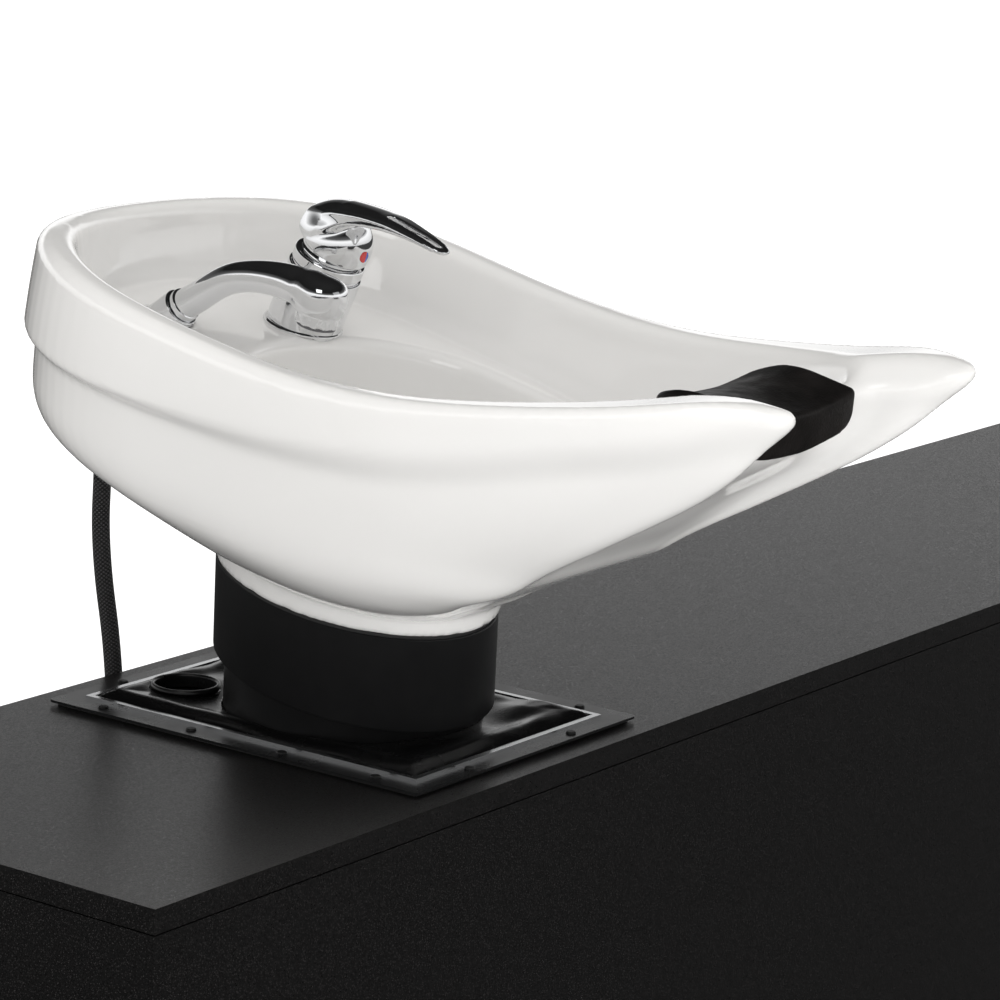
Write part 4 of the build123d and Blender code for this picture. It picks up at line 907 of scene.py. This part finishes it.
frame_open = (242.0, 321.0)
skirt_low = top_z + 1.0
skirt_border, skirt_rest = 7, 0.65
skirt_waves = ((0.055, 0.031, 0.4, 1.3), (-0.043, 0.072, 1.9, 1.0), (0.095, -0.06, 0.2, 0.6), (0.02, 0.13, 2.2, 0.5))


def skirt_height(x, y):
    """The sheet's middle height above the gasket, with x and y from the frame's middle."""
    half_x, half_y = frame_open[0] / 2, frame_open[1] / 2
    inset = np.minimum(half_x - np.abs(x), half_y - np.abs(y))
    shoulder = np.clip((inset - 5.2) / 12.0, 0, 1)
    shoulder = np.sqrt(1 - (1 - shoulder) ** 2)
    away = np.hypot(x, y - axle_y) - tube_radius
    near_tube = np.exp(-np.clip(away, 0, None) / 16.0)
    ring = np.hypot(x - ring_x, y - ring_y)
    near_ring = np.exp(-np.clip(ring - 26.0, 0, None) / 12.0)
    slack = 0.0
    for ax, ay, phase, high in skirt_waves:
        slack = slack + high * np.sin(ax * x + ay * y + phase)
    right = np.clip((x + y * 0.2) / 60.0, 0, 1)
    slack = slack * (0.35 + 0.9 * right)
    rolled = 2.6 * np.exp(-((inset - 20.0) / 9.0) ** 2) * (1 - 0.6 * right)
    high = 7.4 * shoulder + (rolled + slack * shoulder) * (1 - near_ring) - 2.0 * near_tube * shoulder
    return np.clip(high, 0.75, 10.4)


def make_skirt(step):
    half_x, half_y = frame_open[0] / 2 + skirt_border, frame_open[1] / 2 + skirt_border
    xs = np.linspace(-half_x, half_x, int(2 * half_x / step) + 1)
    ys = np.linspace(-half_y, half_y, int(2 * half_y / step) + 1)
    x, y = np.meshgrid(xs, ys, indexing="ij")
    inside = (np.abs(x) < frame_open[0] / 2) & (np.abs(y) < frame_open[1] / 2)
    z = np.where(inside, skirt_height(x, y), skirt_rest)
    cut = (np.hypot(x, y - axle_y) < 101.6 - step) | (np.hypot(x - ring_x, y - ring_y) < 25.2)
    index = np.arange(x.size).reshape(x.shape)
    quads = np.stack([index[:-1, :-1], index[1:, :-1], index[1:, 1:], index[:-1, 1:]], -1).reshape(-1, 4)
    quads = quads[~cut.ravel()[quads].any(1)]
    used, back = np.unique(quads, return_inverse=True)
    points = np.stack([x.ravel() + basin_x, y.ravel(), z.ravel() + skirt_low], 1)[used]
    return points, back.reshape(-1, 4)


skirt_points, skirt_faces = make_skirt(2.0)
skirt = new_piece("splash_skirt_sheet", mapped(ROOM, skirt_points), skirt_faces, "splash_skirt")
thick = skirt.modifiers.new("thickness", "SOLIDIFY")
thick.thickness = 0.0011
thick.offset = 0
riding(skirt, "splash_skirt")

turned("hose_ring_lip", "hose_ring",
       [(24, 2.2), (24, 11.8), (25.2, 13.2), (27.2, 13.0), (28, 11.0), (28, 9.6), (25.6, 9.4), (25.6, 2.2)],
       shifted(basin_x + ring_x, ring_y, top_z), 0.9, 96)


# Tap

turned("tap_foot_ring", "tap_foot", [(0, 0), (32, 0), (32, 1.6), (30.6, 3), (0, 3)],
       BASIN @ shifted(tap_x, tap_p, deck), 0.4, 128)

ball_middle, ball_radius, dome_radius, dome_inner = 75.5, 25.5, 29.2, 25.8
lever_back, lever_tip, lever_end = 26.0, -97.0, 8.5
lever_spine = [
    (lever_back, 90.0), (14.0, 99.0), (0, 106.0), (-22, 113.5), (-45, 118.4), (-72, 121.8), (lever_tip, 122.6)]


def tap_hood_distance(points):
    x, y, z = points.T
    ball = np.sqrt(x * x + y * y + (z - ball_middle) ** 2)
    slope = 11.5 / 60.0
    mouth = ((ball_middle - 3.25 + y * slope) - z) / math.hypot(1, slope)
    dome = and_round(ball - dome_radius, mouth, 1.2)
    line = np.array(lever_spine)
    spine = spline_through(line[:, 0], line[:, 1])
    near = np.clip(y, lever_tip, lever_back)
    mid = spine(near)
    slant = spine(near + 0.5) - spine(near - 0.5)
    thick = np.interp(near, (lever_tip, -60, -30, 0, lever_back), (1.9, 2.9, 4.6, 7.0, 6.0))
    up = (z - mid) / np.sqrt(1 + slant ** 2)
    width = np.interp(near, (lever_tip, -80, -45, -15, 6, lever_back), (lever_end, 12.0, 17.5, 23.0, 25.0, 17.0))
    end = np.hypot(x, np.minimum(y - lever_tip - lever_end, 0)) - lever_end
    side = np.where(y < lever_tip + lever_end, end, np.abs(x) - width)
    side = np.maximum(side, y - 25.0)
    bow = 0.010 * x * x * np.clip((near + 60.0) / 60.0, 0.22, 1)
    lever = and_round(np.abs(up + bow) - thick, side, 2.6)
    slot_y = np.clip(y, -85.5, -40.0)
    slot = np.hypot(x, y - slot_y) - 4.0
    lever = and_round(lever, -slot, 1.2)
    shape = or_round(dome, lever, 9.0)
    return and_round(shape, dome_inner - ball, 0.6)


hood = field_piece("tap_hood_lever", "tap_hood", tap_hood_distance, (-36, -102, 58), (36, 36, 132),
                   1.1, TAP)
riding(hood, "tap_hood")


def ball_profile(radius, middle, low, steps=16):
    """Rings of a ball above a level, from its foot to its top."""
    start = math.asin((low - middle) / radius)
    return [(radius * math.cos(t), middle + radius * math.sin(t)) for t in np.linspace(start, math.pi / 2, steps)]


turned("tap_body_column", "tap_body",
       [(0, -36), (12, -36), (12, 0), (29.4, 0.2), (30, 5), (30, 51.4), (29.2, 52), (0, 52)], TAP, 0.5, 128)
turned("tap_ring_band", "tap_ring", [(0, 52), (27.6, 52), (28, 52.5), (28, 54), (27.6, 54.5), (0, 54.5)], TAP, 0.3, 128)
turned("tap_neck_ball", "tap_neck",
       [(0, 54.8), (28.4, 54.8), (29, 55.6), (29, 62.8), (28.2, 64.0), (24.0, 64.4)]
       + ball_profile(ball_radius, ball_middle, 66.0) + [(0, ball_middle + ball_radius)], TAP, 0.4, 128)


# Hand shower

handle_rise = 22
head_p, head_radius, head_low, head_high = 66.0, 18.5, 276.0, 304.0


def shower_distance(points):
    """The handle's line is in the basin's side view."""
    x, p, q = points.T
    lean_p, lean_q = math.sin(math.radians(socket_lean)), math.cos(math.radians(socket_lean))
    start = np.array([socket_p - handle_rise * lean_p, deck + handle_rise * lean_q])
    spots = np.array([
        start, (178.5, 250.6), (163.5, 265.5), (150, 275.4), (138, 281.0), (118, 287.2), (98, 290.6), (82, 290.6),
        (68, 288.6)])
    radii = np.array([12.2, 11.8, 11.7, 11.9, 12.2, 13.0, 14.0, 15.2, 16.4])
    lengths = np.concatenate([[0], np.cumsum(np.linalg.norm(np.diff(spots, axis=0), axis=1))])
    fine = np.linspace(0, lengths[-1], 40)
    line_p, line_q = spline_through(lengths, spots[:, 0])(fine), spline_through(lengths, spots[:, 1])(fine)
    grow = spline_through(lengths, radii)(fine)
    best = np.full(x.shape, 1e9)
    for k in range(len(fine) - 1):
        dp, dq = line_p[k + 1] - line_p[k], line_q[k + 1] - line_q[k]
        t = np.clip(((p - line_p[k]) * dp + (q - line_q[k]) * dq) / (dp * dp + dq * dq), 0, 1)
        away = np.sqrt((p - line_p[k] - t * dp) ** 2 + (q - line_q[k] - t * dq) ** 2 + x * x)
        best = np.minimum(best, away - (grow[k] + t * (grow[k + 1] - grow[k])))
    ahead = (p - start[0]) * lean_p - (q - start[1]) * lean_q
    best = and_round(best, ahead, 1.0)
    round_head = np.hypot(x, p - head_p)
    head = and_round(round_head - head_radius, np.maximum(head_low - q, q - head_high), 9.0)
    head = or_round(head, best, 8.0)
    collar = and_round(round_head - 17.4, np.maximum(269.6 - q, q - 279.0), 1.2)
    ridge = 0.45 * np.cos(12 * np.arctan2(x, p - head_p)) * np.clip((277.0 - q) / 2.0, 0, 1)
    collar = collar - ridge + 0.2
    head = or_round(head, collar, 0.8)
    return np.maximum(head, -capped_rod(x, p - head_p, q, 15.4, 200.0, 271.5))


shower = field_piece("shower_handle", "shower_body", shower_distance, (-24, 42, 226), (24, 200, 310),
                     1.2, BASIN @ shifted(socket_x, 0, 0))
riding(shower, "shower_body")
turned("shower_stem", "shower_body",
       [(0, -48), (11, -48), (11, 18.2), (13.2, 18.6), (13.5, 20), (13.5, 23.6), (12, 24.4), (0, 24.4)],
       SOCKET, 0.5, 64, replaced=False)
turned("shower_socket_collar", "shower_socket",
       [(11.15, -24), (15.5, -24), (15.5, 17.4), (14.9, 18), (11.15, 18)], SOCKET, 0.5, 96)
turned("shower_socket_flange", "shower_socket", [(15.0, 0), (22, 0), (22, 1.4), (20.4, 3), (15.0, 3)],
       BASIN @ shifted(socket_x, socket_p, deck), 0.8, 96, replaced=False)


# Shower hose: the CAD route's corners are the control points of one smooth line

hose_points = [
    (-55.0, 195.4, 901.3), (-55.0, 206.3, 884.5), (-53.0, 211.0, 865.0), (-47.0, 212.5, 820.0), (-51.0, 211.5, 745.0),
    (-27.0, 212.0, 640.0), (-22.0, 213.0, 520.0), (-27.0, 212.5, 390.0), (-30.0, 213.0, 260.0), (-30.0, 213.0, 150.0),
    (17.4, 213.0, 102.6), (84.4, 213.0, 102.6), (131.8, 213.0, 150.0), (134.0, 213.0, 250.0), (131.8, 213.0, 340.0),
]
hose_radius = 7.2


def route_line(points, resolution=24):
    curve = bpy.data.curves.new("hose_line", "CURVE")
    curve.dimensions = "3D"
    curve.resolution_u = resolution
    spline = curve.splines.new("NURBS")
    spline.points.add(len(points) - 1)
    for spot, (x, y, z) in zip(spline.points, points):
        spot.co = ((basin_x + x) / METRE, y / METRE, z / METRE, 1)
    spline.order_u = 3
    spline.use_endpoint_u = True
    o = bpy.data.objects.new("hose_line", curve)
    mesh = bpy.data.meshes.new_from_object(o)
    line = np.array([v.co for v in mesh.vertices], float)
    bpy.data.meshes.remove(mesh)
    bpy.data.objects.remove(o)
    bpy.data.curves.remove(curve)
    return line


def even_line(line, step):
    """Points a step apart along a line, and how far along it each one lies."""
    run = np.concatenate([[0], np.cumsum(np.linalg.norm(np.diff(line, axis=0), axis=1))])
    at = np.linspace(0, run[-1], max(2, int(run[-1] / step) + 1))
    return np.stack([np.interp(at, run, line[:, k]) for k in range(3)], 1), at


def tube(line, at, radius, sides=28):
    """A tube round a line, with its lengthwise map in metres for the braid."""
    way = np.gradient(line, axis=0)
    way /= np.linalg.norm(way, axis=1)[:, None]
    side = np.zeros_like(way)
    side[0] = np.cross(way[0], (0, 1, 0.2))
    for k in range(len(way)):
        previous = side[k - 1] if k else side[0]
        flat = previous - way[k] * (previous @ way[k])
        side[k] = flat / np.linalg.norm(flat)
    other = np.cross(way, side)
    turns = np.linspace(0, 2 * math.pi, sides, endpoint=False)
    round_x, round_y = np.cos(turns)[None, :, None], np.sin(turns)[None, :, None]
    rings = line[:, None] + radius * (round_x * side[:, None] + round_y * other[:, None])
    count = len(line)
    faces, maps = [], []
    for k in range(count - 1):
        for s in range(sides):
            t = (s + 1) % sides
            a, b = s / sides, (s + 1) / sides
            faces.append((k * sides + s, k * sides + t, (k + 1) * sides + t, (k + 1) * sides + s))
            maps.append([(a, at[k]), (b, at[k]), (b, at[k + 1]), (a, at[k + 1])])
    faces += [tuple(range(sides - 1, -1, -1)), tuple(range((count - 1) * sides, count * sides))]
    maps += [[(0, 0)] * sides] * 2
    return rings.reshape(-1, 3), faces, maps


def hose_piece(name, line, at):
    points, faces, maps = tube(line, at, hose_radius / METRE)
    o = new_piece(name, points, faces, "shower_hose")
    layer = o.data.uv_layers.new(name="lengthwise")
    flat = [c for face in maps for pair in face for c in pair]
    layer.data.foreach_set("uv", flat)
    return o


hose_step, upper_length = 0.003, 0.105
hose_line, hose_at = even_line(route_line(hose_points), hose_step)
split = int(np.searchsorted(hose_at, upper_length))
upper = hose_piece("shower_hose_upper", hose_line[:split + 1], hose_at[:split + 1])
lower = hose_piece("shower_hose_lower", hose_line[split:], hose_at[split:])
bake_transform(upper)
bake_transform(lower)


# Stage: a pale floor, soft lamps and a white surround


def stage_plane(name, size, z):
    mesh = bpy.data.meshes.new(name)
    h = size / 2
    mesh.from_pydata([(-h, -h, z), (h, -h, z), (h, h, z), (-h, h, z)], [], [(0, 1, 2, 3)])
    o = linked(name, mesh)
    return o


def emitter(tree, kind, colour, strength=1.0):
    return put(tree.nodes.new(kind), {"Color": (*colour, 1), "Strength": strength}).outputs[0]


def mixed(tree, factor, first, second):
    """The first shader where factor is 0, and the second where it is 1."""
    node = tree.nodes.new("ShaderNodeMixShader")
    for value, socket in zip((factor, first, second), node.inputs):
        tree.links.new(value, socket)
    return node.outputs[0]


floor_size, floor_pale, floor_glow, floor_mirrored = 60.0, 0.86, 0.5, 0.06
floor = stage_plane("floor", floor_size, 0.0)
floor_material = bpy.data.materials.new("pale_floor")
floor_material.use_nodes = True
tree = floor_material.node_tree
shader = put(tree.nodes["Principled BSDF"], {"Base Color": (*[floor_pale] * 3, 1), "Roughness": 0.9})
ray = tree.nodes.new("ShaderNodeLightPath").outputs
dark, glow = (emitter(tree, "ShaderNodeEmission", (1, 1, 1), strength) for strength in (0.0, floor_glow))
both = tree.nodes.new("ShaderNodeAddShader")
tree.links.new(shader.outputs[0], both.inputs[0])
tree.links.new(mixed(tree, ray["Is Camera Ray"], dark, glow), both.inputs[1])
dim = emitter(tree, "ShaderNodeEmission", [floor_mirrored] * 3)
surface = mixed(tree, ray["Is Glossy Ray"], both.outputs[0], dim)
tree.links.new(surface, tree.nodes["Material Output"].inputs["Surface"])
floor.data.materials.append(floor_material)


def lamp(name, place, target, size, power, colour=(1, 1, 1)):
    data = bpy.data.lights.new(name, "AREA")
    data.shape = "RECTANGLE"
    data.size, data.size_y = size
    data.energy = power
    data.color = colour
    o = linked(name, data)
    way = (Vector(target) - Vector(place)).normalized()
    o.matrix_world = Matrix.Translation(place) @ way.to_track_quat("-Z", "Y").to_matrix().to_4x4()
    return o


lamp("key", (-3.4, -1.2, 3.4), (-0.5, 0, 0.9), (1.6, 1.6), 15)
lamp("fill", (0.6, -3.6, 2.6), (-0.4, 0, 0.8), (2.2, 1.4), 4)
lamp("low", (-2.4, -3.0, 0.35), (-0.5, -0.1, 0.85), (2.4, 0.6), 44).visible_glossy = False
lamp("rim", (-1.2, 3.6, 3.0), (-0.5, 0, 0.9), (2.4, 1.0), 8).visible_glossy = False

world = bpy.data.worlds.new("studio")
scene.world = world
world.use_nodes = True
tree = world.node_tree
tree.nodes.clear()
ray = tree.nodes.new("ShaderNodeLightPath").outputs
parts = tree.nodes.new("ShaderNodeSeparateXYZ")
tree.links.new(tree.nodes.new("ShaderNodeTexCoord").outputs["Generated"], parts.inputs[0])

# What shiny things mirror: bright low down and dark overhead, by the way's height
ramp = tree.nodes.new("ShaderNodeValToRGB")
fill_ramp(ramp.color_ramp, [(0.0, 0.85), (0.10, 1.1), (0.20, 1.25), (0.30, 0.14), (0.50, 0.012), (1.0, 0.02)])
tree.links.new(parts.outputs[2], ramp.inputs["Fac"])
gloss = tree.nodes.new("ShaderNodeBackground")
tree.links.new(ramp.outputs["Color"], gloss.inputs["Color"])
soft = emitter(tree, "ShaderNodeBackground", (1.0, 0.992, 0.98), 0.94)
white = emitter(tree, "ShaderNodeBackground", (1, 1, 1))
seen = tree.nodes.new("ShaderNodeMath")
seen.operation = "MAXIMUM"
tree.links.new(ray["Is Camera Ray"], seen.inputs[0])
tree.links.new(ray["Is Transmission Ray"], seen.inputs[1])
lit = mixed(tree, ray["Is Glossy Ray"], soft, gloss.outputs[0])
output = tree.nodes.new("ShaderNodeOutputWorld")
tree.links.new(mixed(tree, seen.outputs[0], lit, white), output.inputs["Surface"])
